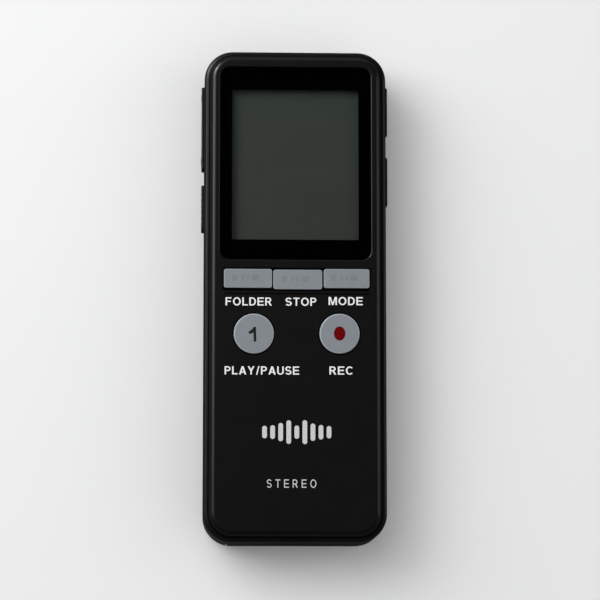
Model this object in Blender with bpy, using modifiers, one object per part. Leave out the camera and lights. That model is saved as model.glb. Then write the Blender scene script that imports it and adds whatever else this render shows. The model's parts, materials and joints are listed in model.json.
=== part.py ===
"""A pocket digital voice recorder, built as an assembly of separate solids.

Frame: the recorder lies on its back. The origin is the centre of the rear face, +X is to the right of
the display, +Y runs towards the microphone end and +Z comes out of the display. Sizes below are in
millimetres; MM turns them into Blender's metres as each shape is made.
"""

import math

import bmesh
import bpy
from mathutils import Matrix, Vector

MM = 0.001

# ---------------------------------------------------------------- driving dimensions, mm
WIDTH = 38.0
LENGTH = 103.0
THICKNESS = 18.0
CORNER = 6.0  # plan radius of the case's corners
GAP = 0.3  # between pieces that rest on each other
SMALL_GAP = 0.15  # between pieces of a thin stack

HALF_W = WIDTH / 2
HALF_L = LENGTH / 2

# case
WALL = 1.6
FLOOR = 1.2
REAR_TOP = 7.0  # parting line of rear cover and middle frame
REAR_EDGE = 2.2  # rounding of the rear face's edge
RIM_TOP = THICKNESS - 1.8  # the middle frame's ridge, seen as a line round the face
RIM = 0.95
RIM_CHAMFER = 0.8
RIM_LEDGE = 14.0
FACE_INSET = 1.2  # from the case's side to the front cover's side
SKIRT = 1.2
SKIRT_BOTTOM = 14.2
SHOULDER = 1.3  # rounding between the front cover's side and its face
FACE_BACK = THICKNESS - 1.4  # underside of the face over the keys
WINDOW_BACK = THICKNESS - 2.05  # underside of the face round the window

# board and battery, heights
BOARD_LOW = 12.6
BOARD_HIGH = 13.4
BOARD_HALF_W = 16.2
BOARD_HALF_L = 48.9
CELL_RADIUS = 5.15
CELL_LENGTH = 44.5
CELL_X = 5.4
CELL_Z = 6.6

# window and display
WINDOW_SIZE = (31.5, 40.76)
WINDOW_Y = 27.42
WINDOW_CORNER = 2.1
WINDOW_FLOOR = 16.45
ACTIVE_SIZE = (26.4, 31.8)
ACTIVE_Y = 27.3
LENS_LOW, LENS_HIGH = 16.85, 17.8
GLASS_HALF_W = 14.5
GLASS_TOP_Y = 46.5
GLASS_LEDGE_Y = 8.9

# front keys: centre x, centre y, width, height
KEY_ROW = {
    "folder": (-9.86, 3.0, 9.95, 3.9),
    "stop": (0.46, 2.8, 10.1, 4.05),
    "mode": (10.6, 3.05, 9.45, 3.95),
}
KEY_ROW_OPENING = ((-15.05, 0.52), (15.55, 5.28))
ROUND_KEYS = {"play": (-8.63, -8.5), "record": (9.12, -8.45)}
ROUND_RADIUS = 4.23
KEY_TOP = THICKNESS + 0.5
KEY_FLANGE = (15.85, 16.45)
KEY_FLANGE_OUT = 0.5
KEY_TRAVEL = 0.4
PLUNGER_LOW = 15.25
STEM_TOP = 15.15
STEM_LOW = 14.05
SWITCH_TOP = 14.6
SWITCH_SIZE = 4.5
DOT_SIZE = (2.3, 2.84)
DOT_DEPTH = 0.35

# side keys
SIDE_Z = 10.5
SIDE_HALF_H = 1.35
SIDE_FACE = HALF_W + 0.6
SLOT_CLEAR = 0.15
ROCKER_Y, ROCKER_HALF_L = 35.7, 9.0
ROCKER_SWITCH_OFFSET = 6.5
ROCKER_AXIS_X = -17.05
POWER_Y, POWER_HALF_L, POWER_TRAVEL = 18.7, 5.0, 2.6
SIDE_KEYS = {"previous": 39.7, "next": 24.7}
SIDE_KEY_HALF_L = 5.2

# sockets, sound holes and speaker
JACK_X, JACK_Z, JACK_BORE = 4.6, 10.3, 1.8
MIC_X, MIC_Z = 10.1, 10.1
USB_Y, USB_HALF_W = -14.0, 3.75
SPEAKER_Y, SPEAKER_RADIUS = 26.0, 9.5
GRILLE_HOLE, GRILLE_PITCH = 0.7, 2.7

# battery door
DOOR_HALF_W = 12.3
DOOR_TOP_Y = 0.7
DOOR_THICK = 1.2
DOOR_END_HALF_W = 13.9
DOOR_END_Y = -50.0
THUMB_GROOVES = 5

# case screws: x, y, column radius
SCREWS = {
    "1": (-14.5, 47.0, 2.0),
    "2": (14.5, 47.0, 2.0),
    "3": (-15.3, -46.4, 1.7),
    "4": (15.3, -46.4, 1.7),
}
SCREW_HEAD, SCREW_SHANK = 1.3, 0.75
COLUMN_TOP = 7.9  # where the rear cover's screw columns meet the middle frame's bosses
BOSS_TOP = 12.4

CORNER_STEPS = 6
ROUND_STEPS = 24
SMALL_STEPS = 12


# ---------------------------------------------------------------- scene and materials
def clear_scene():
    for obj in list(bpy.data.objects):
        bpy.data.objects.remove(obj, do_unlink=True)


def new_collection(name):
    collection = bpy.data.collections.new(name)
    bpy.context.scene.collection.children.link(collection)
    return collection


def material(name, colour, roughness, metallic=0.0):
    made = bpy.data.materials.new(name)
    made.use_nodes = True
    shader = made.node_tree.nodes["Principled BSDF"]
    shader.inputs["Base Color"].default_value = (*colour, 1.0)
    shader.inputs["Roughness"].default_value = roughness
    shader.inputs["Metallic"].default_value = metallic
    made.diffuse_color = (*colour, 1.0)
    return made


clear_scene()
PARTS = new_collection("voice_recorder")
HELPERS = new_collection("cutters")

BLACK_CASE = material("black_case", (0.012, 0.012, 0.012), 0.42)
WINDOW = material("window_acrylic", (0.02, 0.02, 0.02), 0.05)
BLACK_FILM = material("black_film", (0.002, 0.002, 0.002), 0.6)
LCD_GLASS = material("lcd_glass", (0.08, 0.10, 0.09), 0.25)
WHITE_PLASTIC = material("white_plastic", (0.75, 0.75, 0.73), 0.5)
GREY_KEY = material("grey_key", (0.25, 0.27, 0.30), 0.4)
RED_DOT = material("red_dot", (0.20, 0.002, 0.001), 0.4)
BOARD_GREEN = material("board_green", (0.02, 0.14, 0.06), 0.4)
CHIP_BLACK = material("chip_black", (0.02, 0.02, 0.02), 0.55)
RUBBER = material("rubber", (0.02, 0.02, 0.02), 0.8)
STEEL = material("steel", (0.6, 0.6, 0.6), 0.3, 1.0)
CELL_JACKET = material("cell_jacket", (0.05, 0.12, 0.30), 0.3)


# ---------------------------------------------------------------- shape tools
def object_from(name, bm, look, collection):
    mesh = bpy.data.meshes.new(name)
    bm.to_mesh(mesh)
    bm.free()
    obj = bpy.data.objects.new(name, mesh)
    collection.objects.link(obj)
    if look is not None:
        mesh.materials.append(look)
    if collection is HELPERS:
        obj.hide_render = True
        obj.display_type = "WIRE"
    return obj


def same(a, b):
    return abs(a - b) < 1e-9


def vertical_edges(bm):
    return [
        e
        for e in bm.edges
        if same(e.verts[0].co.x, e.verts[1].co.x) and same(e.verts[0].co.y, e.verts[1].co.y)
    ]


def edges_at_height(bm, height):
    return [e for e in bm.edges if all(abs(v.co.z - height * MM) < 1e-7 for v in e.verts)]


def block(name, low, high, look=None, corner=0.0, top=0.0, bottom=0.0, steps=CORNER_STEPS, edge_steps=3):
    """A box from corner to corner; its upright edges, top edge and bottom edge can be rounded."""
    low, high = Vector(low), Vector(high)
    bm = bmesh.new()
    place = Matrix.Translation((low + high) / 2 * MM) @ Matrix.Diagonal((*((high - low) * MM), 1.0))
    bmesh.ops.create_cube(bm, size=1.0, matrix=place)
    if corner:
        bmesh.ops.bevel(
            bm, geom=vertical_edges(bm), offset=corner * MM, segments=steps, profile=0.5, affect="EDGES"
        )
    for rounding, height in ((top, high.z), (bottom, low.z)):
        if rounding:
            bmesh.ops.bevel(
                bm,
                geom=edges_at_height(bm, height),
                offset=rounding * MM,
                segments=edge_steps,
                profile=0.5,
                affect="EDGES",
            )
    return object_from(name, bm, look, HELPERS if look is None else PARTS)


def rod(name, start, end, radius, look=None, steps=ROUND_STEPS):
    """A cylinder between two points."""
    start, end = Vector(start) * MM, Vector(end) * MM
    along = end - start
    bm = bmesh.new()
    turn = along.to_track_quat("Z", "Y").to_matrix().to_4x4()
    bmesh.ops.create_cone(
        bm,
        cap_ends=True,
        segments=steps,
        radius1=radius * MM,
        radius2=radius * MM,
        depth=along.length,
        matrix=Matrix.Translation((start + end) / 2) @ turn,
    )
    return object_from(name, bm, look, HELPERS if look is None else PARTS)


def turned(name, profile, look, steps=ROUND_STEPS):
    """A profile of (radius, height) points, from the top down its outer side, turned about its own Z."""
    bm = bmesh.new()
    points = [bm.verts.new((r * MM, 0.0, z * MM)) for r, z in profile]
    for a, b in zip(points, points[1:]):
        bm.edges.new((a, b))
    obj = object_from(name, bm, look, PARTS)
    screw = obj.modifiers.new("turn", "SCREW")
    screw.angle = math.tau
    screw.steps = steps
    screw.render_steps = steps
    screw.use_merge_vertices = True
    screw.merge_threshold = 0.00001
    return obj


def wire(name, points, radius, look):
    """A round wire along points, as a closed mesh."""
    curve = bpy.data.curves.new(name, "CURVE")
    curve.dimensions = "3D"
    curve.bevel_depth = radius * MM
    curve.bevel_resolution = 2
    curve.use_fill_caps = True
    spline = curve.splines.new("POLY")
    spline.points.add(len(points) - 1)
    for target, point in zip(spline.points, points):
        target.co = (*(Vector(point) * MM), 1.0)
    guide = bpy.data.objects.new(name + "_path", curve)
    HELPERS.objects.link(guide)
    bpy.context.view_layer.update()
    mesh = bpy.data.meshes.new_from_object(guide.evaluated_get(bpy.context.evaluated_depsgraph_get()))
    bm = bmesh.new()
    bm.from_mesh(mesh)
    bmesh.ops.remove_doubles(bm, verts=bm.verts, dist=0.000001)
    bmesh.ops.recalc_face_normals(bm, faces=bm.faces)
    made = object_from(name, bm, look, HELPERS if look is None else PARTS)
    bpy.data.objects.remove(guide)
    return made


def boolean(obj, other, operation):
    step = obj.modifiers.new(f"{operation.lower()}_{other.name}", "BOOLEAN")
    step.operation = operation
    step.object = other
    step.solver = "EXACT"
    return obj


def cut(obj, *cutters):
    for cutter in cutters:
        boolean(obj, cutter, "DIFFERENCE")
    return obj


def join(obj, *others):
    for other in others:
        boolean(obj, other, "UNION")
    return obj


def set_origin(obj, point):
    """Moves the object's origin to a point, and leaves its shape where it is."""
    shift = Vector(point) * MM
    obj.data.transform(Matrix.Translation(-shift))
    obj.location = shift


def smooth(obj):
    if obj.type == "MESH" and len(obj.data.polygons):
        obj.data.shade_smooth()
        obj.data.set_sharp_from_angle(angle=math.radians(35))


# ---------------------------------------------------------------- case
def case_block(name, inset, low, high, look=None, **rounding):
    """A block with the case's outline, drawn in by inset."""
    return block(
        name,
        (-HALF_W + inset, -HALF_L + inset, low),
        (HALF_W - inset, HALF_L - inset, high),
        look,
        corner=CORNER - inset,
        **rounding,
    )


def front_cover():
    cover = case_block(
        "front_cover", FACE_INSET, SKIRT_BOTTOM, THICKNESS, BLACK_CASE, top=SHOULDER, edge_steps=4
    )
    inner = FACE_INSET + SKIRT
    cut(cover, case_block("front_cavity", inner, SKIRT_BOTTOM - 1, WINDOW_BACK))
    cut(
        cover,
        block(
            "key_cavity",
            (-HALF_W + inner, -15.0, WINDOW_BACK - 1),
            (HALF_W - inner, 6.3, FACE_BACK),
        ),
    )
    half_w, half_l = WINDOW_SIZE[0] / 2, WINDOW_SIZE[1] / 2
    pocket = block(
        "window_pocket",
        (-half_w, WINDOW_Y - half_l, WINDOW_FLOOR),
        (half_w, WINDOW_Y + half_l, THICKNESS + 1),
        corner=WINDOW_CORNER,
        steps=4,
    )
    sight = block(
        "window_sight",
        (-ACTIVE_SIZE[0] / 2 - 0.6, ACTIVE_Y - ACTIVE_SIZE[1] / 2 - 0.8, WINDOW_BACK - 1),
        (ACTIVE_SIZE[0] / 2 + 0.6, ACTIVE_Y + ACTIVE_SIZE[1] / 2 + 0.8, THICKNESS),
        corner=1.0,
        steps=3,
    )
    (x0, y0), (x1, y1) = KEY_ROW_OPENING
    row = block("key_row_opening", (x0, y0, FACE_BACK - 2), (x1, y1, THICKNESS + 1), corner=0.5, steps=2)
    cut(cover, pocket, sight, row)
    for name, (x, y) in ROUND_KEYS.items():
        hole = rod(
            f"hole_{name}", (x, y, FACE_BACK - 2), (x, y, THICKNESS + 1), ROUND_RADIUS + 0.2
        )
        cut(cover, hole)
    # snap hooks that catch the middle frame
    for side in (-1, 1):
        for y in (-34.0, 2.0):
            arm_x = sorted((side * 16.65, side * 17.2))
            nub_x = sorted((side * 17.0, side * 17.65))
            join(
                cover,
                block(f"hook_arm_{side}_{y:.0f}", (arm_x[0], y - 2.0, 12.75), (arm_x[1], y + 2.0, 14.6)),
                block(f"hook_nub_{side}_{y:.0f}", (nub_x[0], y - 1.8, 12.9), (nub_x[1], y + 1.8, 13.4)),
            )
    return cover


def middle_frame():
    frame = case_block(
        "middle_frame", 0.0, REAR_TOP + SMALL_GAP, RIM_TOP, BLACK_CASE, top=RIM_CHAMFER, edge_steps=2
    )
    cut(
        frame,
        case_block("frame_bore", WALL, REAR_TOP - 1, RIM_LEDGE + 0.5),
        case_block("frame_rim_bore", RIM, RIM_LEDGE, THICKNESS + 1),
    )
    slot_low, slot_high = SIDE_Z - SIDE_HALF_H - SLOT_CLEAR, SIDE_Z + SIDE_HALF_H + SLOT_CLEAR
    left, right = (-HALF_W - 1, -HALF_W + WALL + 0.4), (HALF_W - WALL - 0.4, HALF_W + 1)
    slots = [
        ("rocker_slot", left, ROCKER_Y - ROCKER_HALF_L - 0.2, ROCKER_Y + ROCKER_HALF_L + 0.2),
        ("power_slot", left, POWER_Y - POWER_HALF_L - POWER_TRAVEL - 0.2, POWER_Y + POWER_HALF_L + 0.2),
    ]
    for name, y in SIDE_KEYS.items():
        slots.append((f"{name}_slot", right, y - SIDE_KEY_HALF_L - 0.15, y + SIDE_KEY_HALF_L + 0.15))
    # lugs that hold the rocker's pin, joined before the slot is cut
    for name, low, high in (("low", 8.2, 8.8), ("high", 12.1, 12.5)):
        join(
            frame,
            block(f"rocker_lug_{name}", (-17.8, ROCKER_Y - 1.2, low), (-16.2, ROCKER_Y + 1.2, high)),
        )
    for name, (x0, x1), y0, y1 in slots:
        cut(frame, block(name, (x0, y0, slot_low), (x1, y1, slot_high)))
    pin_hole = rod(
        "rocker_pin_hole", (ROCKER_AXIS_X, ROCKER_Y, 7.9), (ROCKER_AXIS_X, ROCKER_Y, 12.9), 0.52, steps=16
    )
    usb = block(
        "usb_opening",
        (HALF_W - WALL - 0.5, USB_Y - USB_HALF_W - 0.25, 9.5),
        (HALF_W + 1, USB_Y + USB_HALF_W + 0.25, 12.6),
        corner=0.0,
    )
    cut(frame, pin_hole, usb)
    for side, name in ((-1, "left"), (1, "right")):
        x = side * JACK_X
        cut(frame, rod(f"jack_hole_{name}", (x, HALF_L - 3, JACK_Z), (x, HALF_L + 1, JACK_Z), 2.4))
        for step in (-1, 0, 1):
            x = side * MIC_X + step * 1.1
            hole = rod(
                f"sound_hole_{name}_{step}", (x, HALF_L - 3, MIC_Z), (x, HALF_L + 1, MIC_Z), 0.35, steps=8
            )
            cut(frame, hole)
    # recesses for the front cover's hooks
    for side in (-1, 1):
        for y in (-34.0, 2.0):
            x = sorted((side * 17.2, side * 17.95))
            cut(frame, block(f"hook_recess_{side}_{y:.0f}", (x[0], y - 2.3, 12.6), (x[1], y + 2.3, 13.7)))
    for name, (x, y, radius) in SCREWS.items():
        boss = rod(f"frame_boss_{name}", (x, y, COLUMN_TOP + SMALL_GAP), (x, y, BOSS_TOP), radius)
        web_x = sorted((x, math.copysign(HALF_W - 0.8, x)))
        web = block(
            f"frame_web_{name}",
            (web_x[0], y - 0.6, COLUMN_TOP + 0.2),
            (web_x[1], y + 0.6, BOSS_TOP - 0.1),
        )
        pilot = rod(
            f"frame_pilot_{name}",
            (x, y, COLUMN_TOP - 1),
            (x, y, BOSS_TOP - 0.4),
            SCREW_SHANK + SMALL_GAP,
            steps=16,
        )
        join(frame, boss, web)
        cut(frame, pilot)
    return frame


def grille_points():
    """The speaker grille's hole centres, in hexagonal rows."""
    row_step = GRILLE_PITCH * math.sqrt(3) / 2
    for row in range(-2, 3):
        count = 5 - abs(row)
        for n in range(count):
            yield (n - (count - 1) / 2) * GRILLE_PITCH, SPEAKER_Y + row * row_step


def rear_cover():
    cover = case_block("rear_cover", 0.0, 0.0, REAR_TOP, BLACK_CASE, bottom=REAR_EDGE)
    cut(cover, case_block("rear_cavity", WALL, FLOOR, REAR_TOP + 2))
    # lips that stand up inside the middle frame
    for side, name in ((-1, "left"), (1, "right")):
        x = sorted((side * 16.7, side * 17.25))
        root = sorted((side * 17.0, side * 17.9))
        join(
            cover,
            block(f"lip_{name}", (x[0], -40.0, 5.5), (x[1], 40.0, 7.8)),
            block(f"lip_root_{name}", (root[0], -40.0, 5.2), (root[1], 40.0, 6.6)),
        )
    for name, (x, y, radius) in SCREWS.items():
        column = rod(f"column_{name}", (x, y, FLOOR - 0.4), (x, y, COLUMN_TOP), radius)
        join(cover, column)
        cut(
            cover,
            rod(f"bore_{name}", (x, y, -1), (x, y, COLUMN_TOP + 1), SCREW_SHANK + 0.15, steps=16),
            rod(f"counterbore_{name}", (x, y, -1), (x, y, 1.9), SCREW_HEAD + 0.15, steps=16),
        )
    for n, (x, y) in enumerate(grille_points()):
        cut(cover, rod(f"grille_{n}", (x, y, -1), (x, y, FLOOR + 1), GRILLE_HOLE, steps=8))
    opening = DOOR_HALF_W + GAP
    end_opening = DOOR_END_HALF_W + GAP
    outside_y = -HALF_L - 1
    cut(
        cover,
        block("door_opening", (-opening, outside_y, -1), (opening, DOOR_TOP_Y + GAP, FLOOR + 0.1)),
        block(
            "door_end_opening",
            (-end_opening, outside_y, -1),
            (end_opening, DOOR_END_Y + GAP, REAR_TOP + 2),
        ),
    )
    return cover


def battery_door():
    door = case_block("battery_door", 0.0, 0.0, REAR_TOP - SMALL_GAP, BLACK_CASE, bottom=REAR_EDGE)
    region = block(
        "door_region", (-DOOR_HALF_W, -HALF_L - 1, -1), (DOOR_HALF_W, DOOR_TOP_Y, REAR_TOP + 1)
    )
    end_region = block(
        "door_end_region",
        (-DOOR_END_HALF_W, -HALF_L - 2, -2),
        (DOOR_END_HALF_W, DOOR_END_Y, REAR_TOP + 2),
    )
    boolean(door, join(region, end_region), "INTERSECT")
    cut(door, block("door_inside", (-20, -HALF_L + 1.3, DOOR_THICK), (20, 10, 20)))
    for side, name in ((-1, "left"), (1, "right")):
        rib = sorted((side * 11.3, side * 12.1))
        tongue = sorted((side * 11.4, side * 13.4))
        join(
            door,
            block(f"door_rib_{name}", (rib[0], -49.0, 0.9), (rib[1], -1.5, 2.0)),
            block(f"door_tongue_{name}", (tongue[0], -48.8, 1.5), (tongue[1], -1.7, 2.1)),
        )
    join(door, block("door_latch", (-2.0, -3.0, 0.9), (2.0, DOOR_TOP_Y - 0.1, 2.0)))
    join(door, block("door_latch_tip", (-1.8, -2.0, 1.5), (1.8, 2.2, 2.1)))
    # thumb grooves that narrow towards the way the door slides
    for n in range(THUMB_GROOVES):
        y = -8.0 - n * 1.4
        half = 5.0 - n * 0.7
        cut(door, block(f"thumb_groove_{n}", (-half, y - 0.35, -1), (half, y + 0.35, 0.35)))
    set_origin(door, (0, -HALF_L, 0))
    return door


def case_screw(name, x, y):
    screw = turned(
        f"case_screw_{name}",
        [
            (0.0, 11.6),
            (0.35, 11.5),
            (SCREW_SHANK, 10.7),
            (SCREW_SHANK, 2.95),
            (SCREW_HEAD, 2.95),
            (SCREW_HEAD, 2.1),
            (1.0, 1.85),
            (0.0, 1.8),
        ],
        STEEL,
        steps=16,
    )
    screw.location = Vector((x, y, -1.2)) * MM
    for turn, size in (("a", (0.16, 0.8)), ("b", (0.8, 0.16))):
        slot = block(
            f"cross_{name}_{turn}", (x - size[0], y - size[1], -1), (x + size[0], y + size[1], 1.15)
        )
        cut(screw, slot)
    return screw


# ---------------------------------------------------------------- window and display
def display_window():
    half_w, half_l = WINDOW_SIZE[0] / 2 - 0.1, WINDOW_SIZE[1] / 2 - 0.1
    return block(
        "display_window",
        (-half_w, WINDOW_Y - half_l, LENS_LOW),
        (half_w, WINDOW_Y + half_l, LENS_HIGH),
        WINDOW,
        corner=WINDOW_CORNER - 0.1,
        top=0.15,
        steps=4,
        edge_steps=1,
    )


def window_gasket():
    half_w, half_l = WINDOW_SIZE[0] / 2 - 0.2, WINDOW_SIZE[1] / 2 - 0.2
    gasket = block(
        "window_gasket",
        (-half_w, WINDOW_Y - half_l, WINDOW_FLOOR + SMALL_GAP),
        (half_w, WINDOW_Y + half_l, LENS_LOW - 0.1),
        BLACK_FILM,
        corner=WINDOW_CORNER - 0.2,
        steps=3,
    )
    half_w, half_l = ACTIVE_SIZE[0] / 2, ACTIVE_SIZE[1] / 2
    return cut(
        gasket,
        block("gasket_sight", (-half_w, ACTIVE_Y - half_l, 10), (half_w, ACTIVE_Y + half_l, 20)),
    )


def lcd_panel():
    top_glass = block(
        "lcd_panel", (-GLASS_HALF_W, GLASS_LEDGE_Y, 15.02), (GLASS_HALF_W, GLASS_TOP_Y, 15.7), LCD_GLASS
    )
    return join(
        top_glass,
        block(
            "lower_glass",
            (-GLASS_HALF_W + 0.1, GLASS_LEDGE_Y + 3.3, 14.3),
            (GLASS_HALF_W - 0.1, GLASS_TOP_Y - 0.1, 15.3),
        ),
    )


def lcd_holder():
    holder = block("lcd_holder", (-15.9, 7.9, BOARD_HIGH + SMALL_GAP), (15.9, 47.2, 15.75), WHITE_PLASTIC)
    return cut(
        holder,
        block("holder_opening", (-14.75, 8.65, 10), (14.75, GLASS_TOP_Y + 0.25, 20)),
    )


def zebra_strip():
    return block("zebra_strip", (-13.5, 9.3, 13.55), (13.5, 11.3, 14.92), RUBBER)


# ---------------------------------------------------------------- board
def main_board():
    board = block(
        "main_board",
        (-BOARD_HALF_W, -BOARD_HALF_L, BOARD_LOW),
        (BOARD_HALF_W, BOARD_HALF_L, BOARD_HIGH),
        BOARD_GREEN,
        corner=4.0,
        steps=3,
    )
    # two locating holes
    for n, y in enumerate((-40.0, -3.0)):
        cut(board, rod(f"board_hole_{n}", (13.0, y, 10), (13.0, y, 15), 1.0, steps=12))
    return board


def chips():
    block("processor_chip", (-4.5, 20.0, 11.5), (4.5, 29.0, BOARD_LOW - 0.1), CHIP_BLACK)
    block("memory_chip", (-9.0, 3.5, 11.6), (9.0, 14.0, BOARD_LOW - 0.1), CHIP_BLACK)


def front_switch(name, x, y):
    """A tactile switch on the board: its housing, and the stem that the key pushes."""
    half = SWITCH_SIZE / 2
    housing = block(
        f"switch_{name}",
        (x - half, y - half, BOARD_HIGH + 0.05),
        (x + half, y + half, SWITCH_TOP),
        CHIP_BLACK,
    )
    cut(housing, rod(f"switch_well_{name}", (x, y, 13.58), (x, y, 16), 1.0, steps=16))
    stem = rod(f"stem_{name}", (x, y, STEM_LOW), (x, y, STEM_TOP), 0.9, WHITE_PLASTIC, steps=16)
    set_origin(stem, (x, y, STEM_LOW))


# ---------------------------------------------------------------- front keys
def row_key(name):
    x, y, width, height = KEY_ROW[name]
    half_w, half_h = width / 2, height / 2
    key = block(
        f"key_{name}",
        (x - half_w, y - half_h, 16.2),
        (x + half_w, y + half_h, KEY_TOP),
        GREY_KEY,
        corner=0.35,
        top=0.25,
        steps=2,
        edge_steps=2,
    )
    join(
        key,
        block(
            f"flange_{name}",
            (x - half_w + 0.05, y - half_h - KEY_FLANGE_OUT, KEY_FLANGE[0]),
            (x + half_w - 0.05, y + half_h + KEY_FLANGE_OUT, KEY_FLANGE[1]),
        ),
        rod(f"plunger_{name}", (x, y, PLUNGER_LOW), (x, y, KEY_FLANGE[0] + 0.2), 1.3, steps=16),
    )
    set_origin(key, (x, y, KEY_FLANGE[0]))
    front_switch(name, x, y)
    return key


def round_key(name):
    x, y = ROUND_KEYS[name]
    radius = ROUND_RADIUS
    key = turned(
        f"key_{name}",
        [
            (0.0, KEY_TOP),
            (radius - 0.3, KEY_TOP),
            (radius - 0.08, KEY_TOP - 0.1),
            (radius, KEY_TOP - 0.35),
            (radius, KEY_FLANGE[1]),
            (radius + KEY_FLANGE_OUT, KEY_FLANGE[1]),
            (radius + KEY_FLANGE_OUT, KEY_FLANGE[0]),
            (1.3, KEY_FLANGE[0]),
            (1.3, PLUNGER_LOW),
            (0.0, PLUNGER_LOW),
        ],
        GREY_KEY,
        steps=32,
    )
    key.location = Vector((x, y, 0)) * MM
    front_switch(name, x, y)
    return key


def oval(name, centre, half_x, half_y, low, high, look=None):
    """An upright oval prism."""
    obj = rod(name, (0, 0, low), (0, 0, high), 1.0, look)
    obj.data.transform(Matrix.Diagonal((half_x, half_y, 1.0, 1.0)))
    obj.location = Vector((*centre, 0)) * MM
    return obj


def record_dot(key):
    half_x, half_y = DOT_SIZE[0] / 2, DOT_SIZE[1] / 2
    centre = ROUND_KEYS["record"]
    clear = 0.05
    floor = KEY_TOP - DOT_DEPTH
    cut(key, oval("dot_pocket", centre, half_x + clear, half_y + clear, floor - clear, KEY_TOP + 1))
    return oval("record_dot", centre, half_x, half_y, floor, KEY_TOP + 0.04, RED_DOT)


# ---------------------------------------------------------------- side keys
def side_switch(name, side, y, own_stem):
    """A side-facing tactile switch under the board. The rocker's two keep their stems fixed."""

    def stem_line(inner, outer):
        return (side * inner, y, SIDE_Z), (side * outer, y, SIDE_Z)

    x = sorted((side * 13.0, side * 15.6))
    housing = block(f"switch_{name}", (x[0], y - 2.0, 9.0), (x[1], y + 2.0, BOARD_LOW - 0.1), CHIP_BLACK)
    if not own_stem:
        return join(housing, rod(f"fixed_stem_{name}", *stem_line(15.0, 15.9), 0.6, steps=SMALL_STEPS))
    cut(housing, rod(f"switch_well_{name}", *stem_line(13.45, 17.0), 0.75, steps=SMALL_STEPS))
    stem = rod(f"stem_{name}", *stem_line(13.9, 16.5), 0.6, WHITE_PLASTIC, steps=SMALL_STEPS)
    set_origin(stem, (side * 13.9, y, SIDE_Z))
    return housing


def side_cap(name, side, inner, y, half_l):
    """The bar of a side key: rounded at its ends and along its outer face."""
    x = sorted((side * inner, side * SIDE_FACE))
    bar = block(
        name,
        (x[0], y - half_l, SIDE_Z - SIDE_HALF_H),
        (x[1], y + half_l, SIDE_Z + SIDE_HALF_H),
        BLACK_CASE,
    )
    outer = bar.modifiers.new("edge", "BEVEL")
    outer.width = 0.3 * MM
    outer.segments = 2
    outer.limit_method = "ANGLE"
    return bar


def side_key(name):
    y = SIDE_KEYS[name]
    key = side_cap(f"key_{name}", 1, 16.6, y, SIDE_KEY_HALF_L)
    flange_half_l = SIDE_KEY_HALF_L + 0.6
    join(
        key,
        block(f"side_flange_{name}", (16.65, y - flange_half_l, 8.7), (17.2, y + flange_half_l, 12.3)),
    )
    set_origin(key, (SIDE_FACE, y, SIDE_Z))
    side_switch(name, 1, y, own_stem=True)


def volume_rocker():
    rocker = side_cap("volume_rocker", -1, 16.2, ROCKER_Y, ROCKER_HALF_L)
    cut(
        rocker,
        rod("rocker_bore", (ROCKER_AXIS_X, ROCKER_Y, 8), (ROCKER_AXIS_X, ROCKER_Y, 13), 0.52, steps=16),
    )
    set_origin(rocker, (ROCKER_AXIS_X, ROCKER_Y, SIDE_Z))
    rod(
        "volume_rocker_pin",
        (ROCKER_AXIS_X, ROCKER_Y, 8.3),
        (ROCKER_AXIS_X, ROCKER_Y, 12.45),
        0.45,
        STEEL,
        steps=16,
    )
    side_switch("volume_up", -1, ROCKER_Y + ROCKER_SWITCH_OFFSET, own_stem=False)
    side_switch("volume_down", -1, ROCKER_Y - ROCKER_SWITCH_OFFSET, own_stem=False)


def power_slider():
    knob = side_cap("power_slider", -1, 16.6, POWER_Y, POWER_HALF_L)
    join(
        knob,
        block("power_flange", (-17.2, POWER_Y - 5.6, 8.7), (-16.65, POWER_Y + 5.4, 12.3)),
    )
    cut(knob, block("power_fork", (-17.6, POWER_Y - 1.0, 9.7), (-16.0, POWER_Y + 1.0, 11.3)))
    for n in (-2, -1, 0, 1, 2):
        y = POWER_Y + n * 1.3
        cut(knob, block(f"power_rib_{n}", (-20, y - 0.3, 5), (-SIDE_FACE + 0.25, y + 0.3, 15)))
    set_origin(knob, (-SIDE_FACE, POWER_Y, SIDE_Z))
    middle = POWER_Y - POWER_TRAVEL / 2
    body = block(
        "power_switch_body", (-16.3, middle - 4.5, 9.0), (-12.6, middle + 4.5, BOARD_LOW - 0.1), STEEL
    )
    groove = POWER_TRAVEL / 2 + 1.05
    cut(body, block("power_groove", (-17.0, middle - groove, 9.8), (-14.3, middle + groove, 11.2)))
    lever = block(
        "power_switch_lever", (-17.45, POWER_Y - 0.8, 9.9), (-14.6, POWER_Y + 0.8, 11.1), WHITE_PLASTIC
    )
    set_origin(lever, (-SIDE_FACE, POWER_Y, SIDE_Z))


# ---------------------------------------------------------------- sound and sockets
def jack(name, side):
    x = side * JACK_X
    body = block(name, (x - 3.0, 38.5, 8.05), (x + 3.0, 49.7, BOARD_LOW - 0.1), CHIP_BLACK)
    join(body, rod(f"{name}_barrel", (x, 49.0, JACK_Z), (x, HALF_L - 0.1, JACK_Z), 2.2))
    return cut(body, rod(f"{name}_bore", (x, 39.5, JACK_Z), (x, HALF_L + 1, JACK_Z), JACK_BORE))


def microphone(name, side):
    x = side * MIC_X
    boot = rod(f"mic_boot_{name}", (x, 47.5, MIC_Z), (x, 49.75, MIC_Z), 2.2, RUBBER)
    cut(boot, rod(f"boot_bore_{name}", (x, 46, MIC_Z), (x, 49.3, MIC_Z), 1.95))
    cut(boot, rod(f"boot_port_{name}", (x, 46, MIC_Z), (x, 51, MIC_Z), 0.9, steps=12))
    rod(f"mic_capsule_{name}", (x, 47.6, MIC_Z), (x, 49.15, MIC_Z), 1.9, STEEL)


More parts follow.
